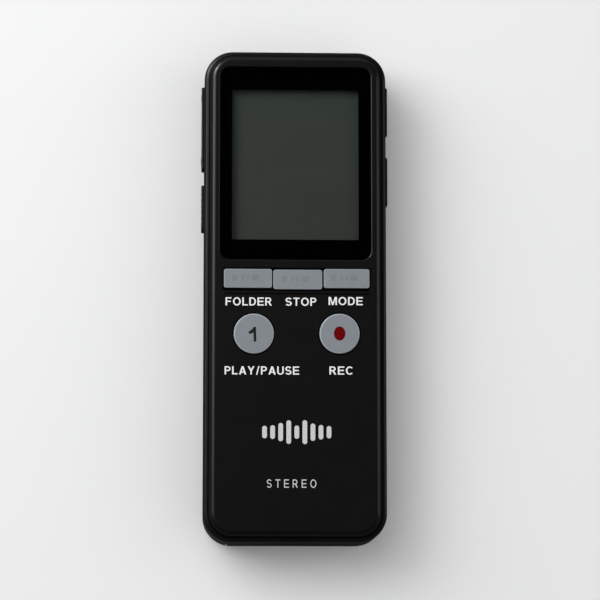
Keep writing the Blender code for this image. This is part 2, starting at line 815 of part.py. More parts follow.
def usb_port():
    shell = block("usb_port", (13.2, USB_Y - USB_HALF_W, 9.75), (18.7, USB_Y + USB_HALF_W, 12.35), STEEL)
    half = USB_HALF_W - 0.35
    cut(shell, block("usb_inside", (13.8, USB_Y - half, 10.1), (20, USB_Y + half, 12.0)))
    return join(shell, block("usb_tongue", (13.6, USB_Y - 2.4, 11.0), (17.6, USB_Y + 2.4, 11.5)))


def speaker():
    made = turned(
        "speaker",
        [
            (0.0, 5.2),
            (4.6, 5.2),
            (4.6, 3.9),
            (8.6, 3.2),
            (SPEAKER_RADIUS, 3.2),
            (SPEAKER_RADIUS, 1.5),
            (8.6, 1.5),
            (8.0, 1.9),
            (3.2, 2.9),
            (0.0, 2.5),
        ],
        STEEL,
    )
    made.location = Vector((0, SPEAKER_Y, 0)) * MM
    return made


def speaker_cable():
    return wire(
        "speaker_cable",
        [
            (6.5, SPEAKER_Y + 1.0, 4.4),
            (8.2, SPEAKER_Y + 3.0, 6.5),
            (9.0, SPEAKER_Y + 6.0, 9.5),
            (9.0, SPEAKER_Y + 8.0, BOARD_LOW - 0.3),
        ],
        0.45,
        RUBBER,
    )


# ---------------------------------------------------------------- battery
def battery_tray():
    tray = block("battery_tray", (-12.5, -49.6, 2.4), (12.5, -0.2, 12.4), BLACK_CASE, corner=0.6, steps=2)
    return cut(tray, block("tray_inside", (-11.8, -49.0, 0), (11.8, -0.8, 11.85)))


def battery_cell(name, x, nub_end, direction):
    """An AAA cell. Its axis runs from the negative face to the nub's tip."""
    cell = turned(
        f"battery_cell_{name}",
        [
            (0.0, CELL_LENGTH),
            (1.9, CELL_LENGTH),
            (1.9, CELL_LENGTH - 0.9),
            (CELL_RADIUS - 0.5, CELL_LENGTH - 0.9),
            (CELL_RADIUS, CELL_LENGTH - 1.4),
            (CELL_RADIUS, 0.4),
            (CELL_RADIUS - 0.4, 0.0),
            (0.0, 0.0),
        ],
        CELL_JACKET,
    )
    cell.rotation_euler = (-direction * math.pi / 2, 0, 0)
    cell.location = Vector((x, nub_end - direction * CELL_LENGTH, CELL_Z)) * MM
    return cell


def coil(name, x, y_plate, direction):
    """A conical battery spring that stands on a contact plate."""
    turns, steps_per_turn, rise = 2.5, 14, 2.15
    count = int(turns * steps_per_turn)
    points = []
    for n in range(count + 1):
        share = n / count
        angle = share * turns * math.tau
        radius = 3.6 - 1.5 * share
        y = y_plate + direction * rise * share
        points.append((x + radius * math.cos(angle), y, CELL_Z + radius * math.sin(angle)))
    return wire(name, points, 0.24, None)


def battery_contacts():
    low, high = CELL_Z - 4.2, CELL_Z + 4.2
    link = block("contact_link", (-10.0, -48.85, low), (10.0, -48.6, high), STEEL)
    join(link, coil("link_coil", CELL_X, -48.7, 1))
    negative = block("contact_negative", (-CELL_X - 4.2, -1.35, low), (-CELL_X + 4.2, -1.05, high), STEEL)
    join(negative, coil("negative_coil", -CELL_X, -1.3, -1))
    block("contact_positive", (CELL_X - 4.2, -1.35, low), (CELL_X + 4.2, -1.05, high), STEEL)


# ---------------------------------------------------------------- assembly
def build():
    front_cover()
    middle_frame()
    rear_cover()
    battery_door()
    for name, (x, y, _) in SCREWS.items():
        case_screw(name, x, y)
    display_window()
    window_gasket()
    lcd_panel()
    lcd_holder()
    zebra_strip()
    main_board()
    chips()
    for name in KEY_ROW:
        row_key(name)
    round_key("play")
    record_dot(round_key("record"))
    for name in SIDE_KEYS:
        side_key(name)
    volume_rocker()
    power_slider()
    jack("microphone_jack", -1)
    jack("headphone_jack", 1)
    microphone("left", -1)
    microphone("right", 1)
    usb_port()
    speaker()
    speaker_cable()
    battery_tray()
    battery_cell("right", CELL_X, -1.5, 1)
    battery_cell("left", -CELL_X, -48.45, -1)
    battery_contacts()
    for obj in PARTS.objects:
        smooth(obj)


build()
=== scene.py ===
"""The looks of a pocket voice recorder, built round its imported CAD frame.

Sizes are in millimetres, in the frame's own axes: +X right of the display, +Y towards the microphone
end, +Z out of the display. MM turns them into metres as each mesh is made.
"""

import json
from math import cos, hypot, radians, sin, sqrt, tau

import bmesh
import bpy
from mathutils import Matrix, Vector


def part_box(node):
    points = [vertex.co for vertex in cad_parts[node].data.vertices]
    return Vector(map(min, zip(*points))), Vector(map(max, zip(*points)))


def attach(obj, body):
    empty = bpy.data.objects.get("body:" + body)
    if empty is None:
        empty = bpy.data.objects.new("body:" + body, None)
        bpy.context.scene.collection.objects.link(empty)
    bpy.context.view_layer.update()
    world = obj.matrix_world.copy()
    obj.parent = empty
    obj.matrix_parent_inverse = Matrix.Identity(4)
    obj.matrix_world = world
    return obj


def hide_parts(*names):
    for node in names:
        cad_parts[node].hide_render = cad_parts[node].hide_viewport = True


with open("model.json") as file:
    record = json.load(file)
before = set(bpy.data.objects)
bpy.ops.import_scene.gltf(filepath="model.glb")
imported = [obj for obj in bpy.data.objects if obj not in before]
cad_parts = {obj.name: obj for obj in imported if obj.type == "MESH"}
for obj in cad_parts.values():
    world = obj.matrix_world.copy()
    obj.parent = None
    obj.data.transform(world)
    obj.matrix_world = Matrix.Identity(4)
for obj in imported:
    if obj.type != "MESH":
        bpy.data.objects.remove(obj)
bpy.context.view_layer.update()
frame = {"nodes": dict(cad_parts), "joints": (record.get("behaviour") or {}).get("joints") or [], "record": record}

MM = 0.001

# ---------------- driving dimensions, mm
CASE_CORNER = 6.0  # plan radius of the case's corners
CORNER_STEPS = 20
ARC_STEPS = 8
FINE_STEPS = 96
ROUND_STEPS = 64
SMALL_STEPS = 32
HOLE_STEPS = 24
FLARE = (78, 0.12)  # a rounded lip ends at this angle, and runs on outwards by this much
CREASE = radians(32)  # edges sharper than this stay sharp
SLIVER = 0.0001  # edges shorter than this are merged away
OVERLAP = 2.0  # how far a cutter runs past what it cuts

PARTING = 7.0  # height where the rear cover meets the middle frame
REAR_EDGE = 2.2
WALL = 1.6
FLOOR = 1.2
RIDGE = (0.62, 1.0)  # the middle frame's upper edge: how far in its rounding reaches, and how high it rises
RIDGE_END = 80  # degrees of rounding before the edge runs on as a slight slope
RIM_INSET = 0.95
RIM_LEDGE = 15.6
COVE = (0.18, 0.53)  # how far the front cover's foot flares out to meet the ridge, and how high
COVE_STEPS = 6
SKIRT = 1.2
SKIRT_BOTTOM = 14.2
SHOULDER = 1.3  # rounding of the front cover's upper edge
CEILING = 15.95
KEY_CEILING = 16.6
KEY_CAVITY = (-15.0, 6.3)  # from y, to y
LIP = 0.24  # rounding of the window opening's edge
KEY_LIP = 0.05
KEY_LINE = 0.62  # from the upper keys' opening down to the fine groove under it
KEY_LINE_HALF_W, KEY_LINE_DEPTH = 0.13, 0.4
WINDOW_CORNER = 2.1
WINDOW_FLOOR = 16.45
WINDOW_CLEAR = 0.1
SIGHT_SIZE = (26.45, 31.8)
SIGHT_DROP = 0.12  # how far the display's sight sits below the window's middle
LENS_EDGE = 0.18  # rounding of the window's upper edge
PANE_LEDGE = 2.45  # how far the display's upper pane reaches past the lower one, for the contacts
PANE_HEIGHTS = ((15.02, 15.7), (14.3, 14.98))  # of the upper and the lower pane

KEY_FLANGE = (15.85, 16.45)  # from height, to height
KEY_FLANGE_OUT = 0.5
KEY_FOOT = 16.2
KEY_CLEAR = 0.3
ROUND_TRIM = 0.08  # the round caps are this much smaller than the CAD's
ROUND_EDGE = 0.34
KEY_CORNER = 0.45
KEY_EDGE = 0.14
GAP_SHADE_DEPTH = 0.12  # how far below the face the front keys stay grey; below it they are black, painted shade in the gaps round them
PLUNGER = 1.3
ROW_KEYS = ("folder", "stop", "mode")
ROUND_KEYS = ("play", "record")
DOT_FLOOR = 0.35  # down from the key's top
DOT_CLEAR = 0.04

SIDE_HALF_H = 1.35
SIDE_CORNER = 0.7
SIDE_EDGE = 0.25
SIDE_FLANGE = 0.6  # how far a side key's flange runs past its cap, at each end
SIDE_FLANGE_DEPTHS = (-2.35, -1.8)  # from the case's side, outwards
SIDE_FLANGE_HALF_H = 1.8
SIDE_DEPTH = -2.4  # inner end of a side key's bar, from the case's side
ROCKER_DEPTH = -2.8
POWER_FLANGE = (0.6, 0.4)  # the same for the power slider: its lower end and its upper end
SLOT_CLEAR = 0.15
SLOT_LIP = 0.18
SLOT_PLAY = 0.2  # from a slot's end to the piece that moves in it
SERRATION = (0.45, 0.25, 1.3)  # the power knob's grooves: floor from the case's side, half width, pitch

DOOR_HALF_W = 12.3
DOOR_TOP_Y = 0.7
DOOR_END_HALF_W = 13.9
DOOR_END_Y = -50.0
DOOR_THICK = 1.2
DOOR_GAP = 0.3
DOOR_DROP = 0.15  # the door's end wall stops this far below the parting
THUMB_GROOVES = 5
GRILLE_HOLE, GRILLE_PITCH = 0.7, 2.7
SCREW_COLUMN, SCREW_BORE, SCREW_WELL = 1.7, 0.9, 1.45  # radii
JACKS = ("headphone_jack", "microphone_jack")
JACK_BORE, JACK_MOUTH = 1.8, 2.4
JACK_Z = 10.3
USB_CLEAR = 0.25
SOUND_HOLE, SOUND_PITCH = 0.35, 1.1
CELL_BAND = 10.0  # the light end of a cell's jacket

PRINT_HEIGHT = 0.03  # how far ink stands proud of its surface
PRINT_SINK = 0.01  # how far its lower side lies inside
FAINT_HEIGHT = 0.008
# Shift, width and height of each worn blot on a row key.
FAINT_MARKS = ((-2.8, 1.0, 1.3), (-1.0, 0.45, 1.15), (0.0, 0.5, 0.95), (1.5, 1.5, 1.25))
LEGEND_HEIGHT = 1.7
LEGEND_WEIGHT = 0.155
LEGEND_GAP = 0.15
LEGENDS = {  # key: words, shift from the key's middle, width, drop below the key's middle
    "folder": ("FOLDER", 0.17, 9.6, 4.79),
    "stop": ("STOP", 0.67, 6.4, 4.6),
    "mode": ("MODE", -0.2, 7.1, 4.66),
    "play": ("PLAY/PAUSE", 1.69, 15.4, 7.65),
    "record": ("REC", 0.35, 4.9, 7.65),
}
MARK_PLACE = (0.27, -28.9)
MARK_HEIGHT = 5.2
MARK_BARS = (9, 1.66, 0.98)  # count, pitch and width
# Words, centre, width, height, stroke weight and gap between the letters.
SMALL_MARK = ("STEREO", (-0.8, -39.5), 10.2, 1.7, 0.12, 0.5)
LETTER_WIDTHS = {
    "A": 0.74, "C": 0.72, "D": 0.68, "E": 0.64, "F": 0.6, "L": 0.56, "M": 0.84, "O": 0.8, "P": 0.62,
    "R": 0.68, "S": 0.64, "T": 0.64, "U": 0.68, "Y": 0.7, "/": 0.36,
}

AMBIENT = 0.3
MIRRORED_HORIZON = 0.09  # how bright the surroundings look in reflections, along the horizon
CAMERA_DISTANCE = 600.0
CAMERA_LEAN = (-2.2, -7.85)  # degrees off the face's normal, towards +X and towards +Y
CAMERA_TARGET = (0.969, -1.297, 17.0)
CAMERA_LENS = 173.48


# ---------------- the frame, in mm
def extent(piece):
    """The lowest and highest corner of a CAD piece."""
    low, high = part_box(piece)
    return low / MM, high / MM


def centre_of(piece):
    low, high = extent(piece)
    return (low + high) / 2


CASE_LOW, CASE_HIGH = extent("middle_frame")
FACE_HIGH = extent("front_cover")[1]
HALF_W, HALF_L = CASE_HIGH.x, CASE_HIGH.y
RIM_TOP = CASE_HIGH.z
FACE = FACE_HIGH.z
FACE_INSET = HALF_W - FACE_HIGH.x
KEY_TOP = extent("key_folder")[1].z
GAP_SHADE_LINE = FACE - GAP_SHADE_DEPTH
SIDE_Z = centre_of("volume_rocker").z
SIDE_REACH = -extent("volume_rocker")[0].x - HALF_W  # how far the side keys stand out
POWER_JOINT = next(joint for joint in frame["joints"] if joint["name"] == "power_slide")
POWER_TRAVEL = POWER_JOINT["range_m"][1] / MM

# Local axes of pieces that face out of each side: the columns are local x, y and z.
FACING = {
    "right": Matrix(((0, 0, 1), (1, 0, 0), (0, 1, 0))),
    "left": Matrix(((0, 0, -1), (-1, 0, 0), (0, 1, 0))),
    "top_end": Matrix(((-1, 0, 0), (0, 0, 1), (0, 1, 0))),
    "bottom_end": Matrix(((1, 0, 0), (0, 0, -1), (0, 1, 0))),
    "rear": Matrix(((1, 0, 0), (0, -1, 0), (0, 0, -1))),
    "front": Matrix.Identity(3),
}


# ---------------- shape tools
def rounded_ring(x0, x1, y0, y1, radius, z, steps=CORNER_STEPS):
    """A rounded rectangle at height z, anticlockwise."""
    corners = (
        (x1 - radius, y0 + radius, -90),
        (x1 - radius, y1 - radius, 0),
        (x0 + radius, y1 - radius, 90),
        (x0 + radius, y0 + radius, 180),
    )
    ring = []
    for cx, cy, start in corners:
        for n in range(steps + 1):
            angle = radians(start + 90 * n / steps)
            ring.append((cx + radius * cos(angle), cy + radius * sin(angle), z))
    return ring


def case_ring(inset, z):
    """The case's outline, drawn in by inset."""
    radius = CASE_CORNER - inset
    return rounded_ring(-HALF_W + inset, HALF_W - inset, -HALF_L + inset, HALF_L - inset, radius, z)


def round_ring(x, y, radius, z, steps=ROUND_STEPS, stretch=1.0):
    """A circle, or an oval that is stretch times as tall as it is wide."""
    turns = [tau * n / steps for n in range(steps)]
    return [(x + radius * cos(a), y + radius * stretch * sin(a), z) for a in turns]


def arc(radius, steps=ARC_STEPS, end=90):
    """Points (out, up) of a quarter round, from upright at (0, 0) to level at (radius, radius)."""
    turns = [radians(end * n / steps) for n in range(steps + 1)]
    return [(radius * (1 - cos(angle)), radius * sin(angle)) for angle in turns]


def mesh_object(name, bm):
    bmesh.ops.remove_doubles(bm, verts=bm.verts, dist=1e-7)
    bmesh.ops.recalc_face_normals(bm, faces=bm.faces)
    mesh = bpy.data.meshes.new(name)
    bm.to_mesh(mesh)
    bm.free()
    obj = bpy.data.objects.new(name, mesh)
    bpy.context.scene.collection.objects.link(obj)
    return obj


def loft(name, rings, place=None, loop=False):
    """A closed skin over rings. The end rings are capped, or joined to each other in a loop."""
    place = place or Matrix.Identity(4)
    bm = bmesh.new()
    rows = [[bm.verts.new(place @ Vector(point) * MM) for point in ring] for ring in rings]
    pairs = list(zip(rows, rows[1:]))
    if loop:
        pairs.append((rows[-1], rows[0]))
    else:
        bm.faces.new(list(reversed(rows[0])))
        bm.faces.new(rows[-1])
    for lower, upper in pairs:
        for n in range(len(lower)):
            following = (n + 1) % len(lower)
            bm.faces.new((lower[n], lower[following], upper[following], upper[n]))
    return mesh_object(name, bm)


def slab(name, bounds, radius, levels, steps=ARC_STEPS, place=None):
    """A rounded block within bounds (x0, x1, y0, y1). Levels are (how far in, height), from below."""
    x0, x1, y0, y1 = bounds
    rings = [
        rounded_ring(x0 + inset, x1 - inset, y0 + inset, y1 - inset, radius - inset, z, steps)
        for inset, z in levels
    ]
    return loft(name, rings, place)


def box(name, low, high):
    """A square-edged block, for cutting or joining."""
    low, high = Vector(low), Vector(high)
    bm = bmesh.new()
    size = Matrix.Diagonal((*((high - low) * MM), 1.0))
    bmesh.ops.create_cube(bm, size=1.0, matrix=Matrix.Translation((low + high) / 2 * MM) @ size)
    return mesh_object(name, bm)


def lathe(name, profile, place=None, steps=ROUND_STEPS):
    """A profile of (radius, height) points turned about local Z. Its ends are flat caps."""
    return loft(name, [round_ring(0, 0, radius, z, steps) for radius, z in profile], place)


def at(x, y, z, facing="front"):
    """The place of local axes that start at a point and face one side."""
    return Matrix.Translation((x, y, z)) @ FACING[facing].to_4x4()


def merged(name, parts):
    """Separate solids in one object."""
    bm = bmesh.new()
    for part in parts:
        bm.from_mesh(part.data)
        bpy.data.objects.remove(part)
    return mesh_object(name, bm)


def evaluated_mesh(obj):
    """A new mesh of the object with its modifiers or its curve settings worked out."""
    return bpy.data.meshes.new_from_object(obj.evaluated_get(bpy.context.evaluated_depsgraph_get()))


def combine(obj, operation, *tools):
    """Cuts obj with the tools, or joins them to it, and removes them."""
    for tool in tools:
        step = obj.modifiers.new(tool.name, "BOOLEAN")
        step.operation = operation
        step.object = tool
        step.solver = "EXACT"
    obj.data = evaluated_mesh(obj)
    obj.modifiers.clear()
    for tool in tools:
        bpy.data.objects.remove(tool)


def cut(obj, *tools):
    combine(obj, "DIFFERENCE", *tools)


def join(obj, *tools):
    combine(obj, "UNION", *tools)


def flared_levels(surface, floor, lip):
    """(outward, height) of a cutter that leaves a rounded lip at the surface it cuts."""
    end, run = FLARE
    levels = [(0.0, floor)]
    levels += [(out, surface - lip + up) for out, up in arc(lip, 6, end)]
    return levels + [(lip + run, surface + run / 2), (lip + run, surface + 1.0)]


def pocket(name, bounds, radius, surface, floor, lip, place=None, steps=ARC_STEPS):
    """A cutter for a rounded rectangular opening."""
    levels = [(-out, z) for out, z in flared_levels(surface, floor, lip)]
    return slab(name, bounds, radius, levels, steps, place)


def hole(name, x, y, radius, surface, floor, lip, place=None, steps=ROUND_STEPS):
    """A cutter for a round opening."""
    rings = [round_ring(x, y, radius + out, z, steps) for out, z in flared_levels(surface, floor, lip)]
    return loft(name, rings, place)


def curve_object(name, dimensions, lines, closed):
    """An object of straight-sided splines through lines of points."""
    curve = bpy.data.curves.new(name, "CURVE")
    curve.dimensions = dimensions
    for line in lines:
        spline = curve.splines.new("POLY")
        spline.use_cyclic_u = closed
        spline.points.add(len(line) - 1)
        for target, point in zip(spline.points, line):
            target.co = (*(along * MM for along in point), 1.0)
    guide = bpy.data.objects.new(name, curve)
    bpy.context.scene.collection.objects.link(guide)
    return guide


def curve_solid(guide):
    """Turns a curve object into a solid of the same name."""
    bpy.context.view_layer.update()
    mesh = evaluated_mesh(guide)
    mesh.transform(guide.matrix_world)
    name = guide.name
    bpy.data.objects.remove(guide)
    bm = bmesh.new()
    bm.from_mesh(mesh)
    return mesh_object(name, bm)


def tube(name, points, radius):
    """A round wire along points, with closed ends."""
    guide = curve_object(name, "3D", [points], closed=False)
    guide.data.bevel_depth = radius * MM
    guide.data.bevel_resolution = 3
    guide.data.use_fill_caps = True
    return curve_solid(guide)


def drop_slivers(mesh):
    """Merges away faces and edges too small to see, which cutting can leave behind."""
    bm = bmesh.new()
    bm.from_mesh(mesh)
    bmesh.ops.dissolve_degenerate(bm, dist=SLIVER * MM, edges=bm.edges)
    bm.to_mesh(mesh)
    bm.free()


def finish_piece(obj, look, body, replaces=None, smooth=True):
    """Gives a piece its material, shading and body, and hides the CAD piece it stands for."""
    drop_slivers(obj.data)
    obj.data.materials.clear()
    obj.data.materials.append(look)
    if smooth:
        obj.data.shade_smooth()
        obj.data.set_sharp_from_angle(angle=CREASE)
        weighted = obj.modifiers.new("flat_faces", "WEIGHTED_NORMAL")
        weighted.keep_sharp = True
        weighted.weight = 100
    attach(obj, body)
    if replaces:
        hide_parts(replaces)


def paint_faces(obj, look, chosen):
    """Gives a finished piece a second material, on the faces that chosen picks."""
    obj.data.materials.append(look)
    for face in obj.data.polygons:
        if chosen(face):
            face.material_index = 1


# ---------------- material tools
def new_material(name):
    made = bpy.data.materials.new(name)
    made.use_nodes = True
    return made, made.node_tree, made.node_tree.nodes["Principled BSDF"]


def node(tree, kind, setup=None, **inputs):
    """A shader node. Inputs are values or sockets, under the inputs' names with _ for a space."""
    made = tree.nodes.new("ShaderNode" + kind)
    for key, value in (setup or {}).items():
        setattr(made, key, value)
    for key, value in inputs.items():
        feed(tree, made.inputs[key.replace("_", " ")], value)
    return made


def feed(tree, socket, value):
    """Links a socket to another, or sets its value. Colours are given without their alpha."""
    if isinstance(value, bpy.types.NodeSocket):
        tree.links.new(value, socket)
    elif socket.type == "RGBA":
        socket.default_value = (*value, 1.0)
    else:
        socket.default_value = value


def maths(tree, operation, first, second=0.0):
    made = node(tree, "Math", {"operation": operation})
    feed(tree, made.inputs[0], first)
    feed(tree, made.inputs[1], second)
    return made.outputs[0]


def spread(tree, value, low, high, from_low=0.0, from_high=1.0):
    """Maps a value onto a range."""
    ends = {"From_Min": from_low, "From_Max": from_high, "To_Min": low, "To_Max": high}
    return node(tree, "MapRange", Value=value, **ends).outputs["Result"]


def blend_colour(tree, share, first, second):
    made = node(tree, "Mix", {"data_type": "RGBA"})
    for socket, value in ((0, share), (6, first), (7, second)):
        feed(tree, made.inputs[socket], value)
    return made.outputs[2]


def position(tree):
    """The point's place in the recorder's axes, in millimetres."""
    coordinates = node(tree, "TexCoord").outputs["Object"]
    scaled = node(tree, "VectorMath", {"operation": "SCALE"}, Scale=1 / MM)
    tree.links.new(coordinates, scaled.inputs[0])
    return scaled.outputs[0]


def noise(tree, where, size, detail=2.0, rough=0.5):
    """Noise whose features are about size millimetres across."""
    made = node(tree, "TexNoise", Vector=where, Scale=1 / size, Detail=detail, Roughness=rough)
    return made.outputs["Fac"]


def edge_share(tree, radius):
    """1 on edges that turn within radius, 0 on flat faces."""
    soft = node(tree, "Bevel", {"samples": 4}, Radius=radius * MM).outputs["Normal"]
    flat = node(tree, "NewGeometry").outputs["Normal"]
    aligned = node(tree, "VectorMath", {"operation": "DOT_PRODUCT"})
    tree.links.new(soft, aligned.inputs[0])
    tree.links.new(flat, aligned.inputs[1])
    return spread(tree, aligned.outputs["Value"], 1.0, 0.0, 0.75, 0.98)


def scaled_colour(colour, factor):
    return tuple(channel * factor for channel in colour)


def finish_material(tree, shader, colour, roughness, height, depth, metallic=0.0, gloss=0.5):
    """Wires the worked-out colour, roughness and relief into the shader. Depth is in millimetres."""
    feed(tree, shader.inputs["Base Color"], colour)
    feed(tree, shader.inputs["Roughness"], roughness)
    shader.inputs["Metallic"].default_value = metallic
    shader.inputs["Specular IOR Level"].default_value = gloss
    bump = node(tree, "Bump", Height=height, Distance=depth * MM, Strength=1.0)
    tree.links.new(bump.outputs["Normal"], shader.inputs["Normal"])


def plastic(name, colour, roughness, grain=0.16, depth=0.004, mottle=0.05, wear_and_sheen=0.0, specular=0.5):
    """Moulded plastic: a fine spark-eroded grain, slow colour and gloss variation, and edges rubbed smoother and
    painted lighter, partly wear and partly a painted highlight.
    """
    made, tree, shader = new_material(name)
    where = position(tree)
    fine = noise(tree, where, grain, 3.0, 0.6)
    slow = noise(tree, where, 9.0, 3.0)
    shade = spread(tree, slow, 0.0, 1.0, 0.3, 0.7)
    tint = blend_colour(tree, shade, scaled_colour(colour, 1 - mottle), scaled_colour(colour, 1 + mottle))
    gloss = spread(tree, noise(tree, where, 3.5, 4.0), roughness - 0.015, roughness + 0.015, 0.3, 0.7)
    # Edges are rubbed smoother and painted up to three times lighter: partly wear, partly a painted highlight
    # along the edges.
    if wear_and_sheen:
        edges = edge_share(tree, 0.22)
        worn = maths(tree, "MULTIPLY", edges, spread(tree, noise(tree, where, 0.9), 0.3, 1.0))
        tint = blend_colour(tree, maths(tree, "MULTIPLY", worn, wear_and_sheen), tint, scaled_colour(colour, 3.0))
        gloss = maths(tree, "SUBTRACT", gloss, maths(tree, "MULTIPLY", worn, 0.08))
    finish_material(tree, shader, tint, gloss, fine, depth, gloss=specular)
    return made


def paint(name, colour, roughness):
    """Satin metallic-look lacquer: tiny flakes over a plain coat, with a painted highlight: its tilted edges are
    painted lighter.
    """
    made, tree, shader = new_material(name)
    where = position(tree)
    flakes = node(tree, "TexVoronoi", Vector=where, Scale=1 / 0.07).outputs["Color"]
    sparkle = node(tree, "SeparateColor", Color=flakes).outputs["Red"]
    slow = noise(tree, where, 2.2, 3.0)
    shade = maths(tree, "ADD", maths(tree, "MULTIPLY", sparkle, 0.35), maths(tree, "MULTIPLY", slow, 0.65))
    tint = blend_colour(tree, shade, scaled_colour(colour, 0.9), scaled_colour(colour, 1.1))
    # Painted highlight: faces that tilt away from straight up, the key rims and sides, are painted up to 2.3 times
    # lighter.
    upward = node(tree, "SeparateXYZ", Vector=node(tree, "NewGeometry").outputs["Normal"]).outputs["Z"]
    painted_rim_highlight = spread(tree, upward, 0.75, 0.0, 0.8, 0.985)
    tint = blend_colour(tree, painted_rim_highlight, tint, scaled_colour(colour, 2.3))
    gloss = spread(tree, noise(tree, where, 1.4, 3.0), roughness - 0.05, roughness + 0.05, 0.3, 0.7)
    finish_material(tree, shader, tint, gloss, noise(tree, where, 0.35, 2.0), 0.0035)
    return made


def ink(name, colour):
    """Pad-printed ink: slightly uneven in cover and gloss."""
    made, tree, shader = new_material(name)
    where = position(tree)
    cover = noise(tree, where, 0.3, 3.0)
    tint = blend_colour(tree, cover, scaled_colour(colour, 0.9), scaled_colour(colour, 1.04))
    gloss = spread(tree, noise(tree, where, 0.8), 0.44, 0.56, 0.3, 0.7)
    finish_material(tree, shader, tint, gloss, noise(tree, where, 0.12, 2.0), 0.003)
    return made


def metal(name, colour, roughness):
    """Plated metal with fine drawing lines along Z, and faint stains."""
    made, tree, shader = new_material(name)
    where = position(tree)
    stretched = node(tree, "Mapping", Vector=where, Scale=(2.0, 2.0, 1 / 12)).outputs[0]
    lines = node(tree, "TexNoise", Vector=stretched, Scale=6.0, Detail=4.0).outputs["Fac"]
    stain = noise(tree, where, 4.0, 4.0)
    tint = blend_colour(tree, stain, scaled_colour(colour, 0.82), colour)
    gloss = spread(tree, lines, roughness - 0.08, roughness + 0.1, 0.3, 0.7)
    finish_material(tree, shader, tint, gloss, lines, 0.002, metallic=1.0)
    return made


def lens_material():
    """Clear acrylic as a thin pane: light passes straight through, and the surface mirrors a little."""
    made, tree, shader = new_material("clear_acrylic")
    tree.nodes.remove(shader)
    where = position(tree)
    swell = noise(tree, where, 14.0, 1.0)
    bump = node(tree, "Bump", Height=swell, Distance=0.01 * MM, Strength=1.0).outputs["Normal"]
    smears = spread(tree, noise(tree, where, 5.0, 5.0), 0.02, 0.07, 0.45, 0.75)
    mirror = node(tree, "BsdfGlossy", Roughness=smears, Normal=bump, Color=(1, 1, 1))
    clear = node(tree, "BsdfTransparent", Color=(0.97, 0.975, 0.97))
    outside = maths(tree, "SUBTRACT", 1.0, node(tree, "NewGeometry").outputs["Backfacing"])
    share = maths(tree, "MULTIPLY", node(tree, "Fresnel", IOR=1.45, Normal=bump).outputs[0], outside)
    mixed = node(tree, "MixShader", Fac=share)
    tree.links.new(clear.outputs[0], mixed.inputs[1])
    tree.links.new(mirror.outputs[0], mixed.inputs[2])
    tree.links.new(mixed.outputs[0], tree.nodes["Material Output"].inputs["Surface"])
    return made


def display_material(top_y, bottom_y):
    """An unlit liquid-crystal display: grey-green polariser over a faint grid of cells, with a painted shade from
    its top to its bottom.
    """
    made, tree, shader = new_material("display_glass")
    where = position(tree)
    axes = node(tree, "SeparateXYZ", Vector=where)
    across, along = axes.outputs["X"], axes.outputs["Y"]
    # Painted shade: the colour runs from DISPLAY_TOP at the upper end, a touch lighter and greener, to
    # DISPLAY_BOTTOM at the lower end, as the light falls off.
    height = spread(tree, along, 0.0, 1.0, bottom_y, top_y)
    tint = blend_colour(tree, height, DISPLAY_BOTTOM, DISPLAY_TOP)
    cells = [maths(tree, "GREATER_THAN", maths(tree, "FRACT", maths(tree, "DIVIDE", axis, 0.42)), 0.12)
             for axis in (across, along)]
    grid = maths(tree, "MULTIPLY", *cells)
    tint = blend_colour(tree, spread(tree, grid, 0.05, 0.0), tint, (0.02, 0.024, 0.021))
    haze = noise(tree, where, 6.0, 3.0)
    finish_material(tree, shader, tint, spread(tree, haze, 0.32, 0.42, 0.3, 0.7), haze, 0.002)
    return made


def board_material():
    """Green solder resist over copper tracks, with tinned pads."""
    made, tree, shader = new_material("circuit_board")
    where = position(tree)
    tracks = node(tree, "TexBrick", Vector=where, Scale=1.0, Mortar_Size=0.03, Mortar_Smooth=0.2,
                  Brick_Width=2.6, Row_Height=0.8)
    copper = tracks.outputs["Fac"]
    pads = node(tree, "TexVoronoi", {"distance": "CHEBYCHEV"}, Vector=where, Scale=1 / 2.1)
    pad = maths(tree, "LESS_THAN", pads.outputs["Distance"], 0.1)
    resist = blend_colour(tree, copper, (0.012, 0.085, 0.035), (0.03, 0.16, 0.06))
    tint = blend_colour(tree, pad, resist, (0.55, 0.55, 0.52))
    height = maths(tree, "ADD", maths(tree, "MULTIPLY", copper, 0.5), pad)
    finish_material(tree, shader, tint, spread(tree, pad, 0.32, 0.25), height, 0.03)
    return made


def jacket_material(band_low, band_high):
    """A battery's printed shrink jacket: a dark body with a light band at one end."""
    made, tree, shader = new_material("cell_jacket")
    where = position(tree)
    along = node(tree, "SeparateXYZ", Vector=where).outputs["Y"]
    above = maths(tree, "GREATER_THAN", along, band_low)
    band = maths(tree, "MULTIPLY", above, maths(tree, "LESS_THAN", along, band_high))
    speck = noise(tree, where, 1.2, 3.0)
    body = blend_colour(tree, speck, (0.018, 0.05, 0.14), (0.028, 0.075, 0.2))
    tint = blend_colour(tree, band, body, (0.62, 0.62, 0.6))
    wrinkle = noise(tree, where, 0.7, 2.0)
    finish_material(tree, shader, tint, spread(tree, speck, 0.22, 0.34), wrinkle, 0.012)
    return made


BLACK = (0.0044, 0.0044, 0.0046)
KEY_GREY = (0.201, 0.219, 0.241)
# The display's colours at its upper and lower end; the change between them is painted shade.
DISPLAY_TOP = (0.0445, 0.055, 0.048)
DISPLAY_BOTTOM = (0.049, 0.052, 0.047)

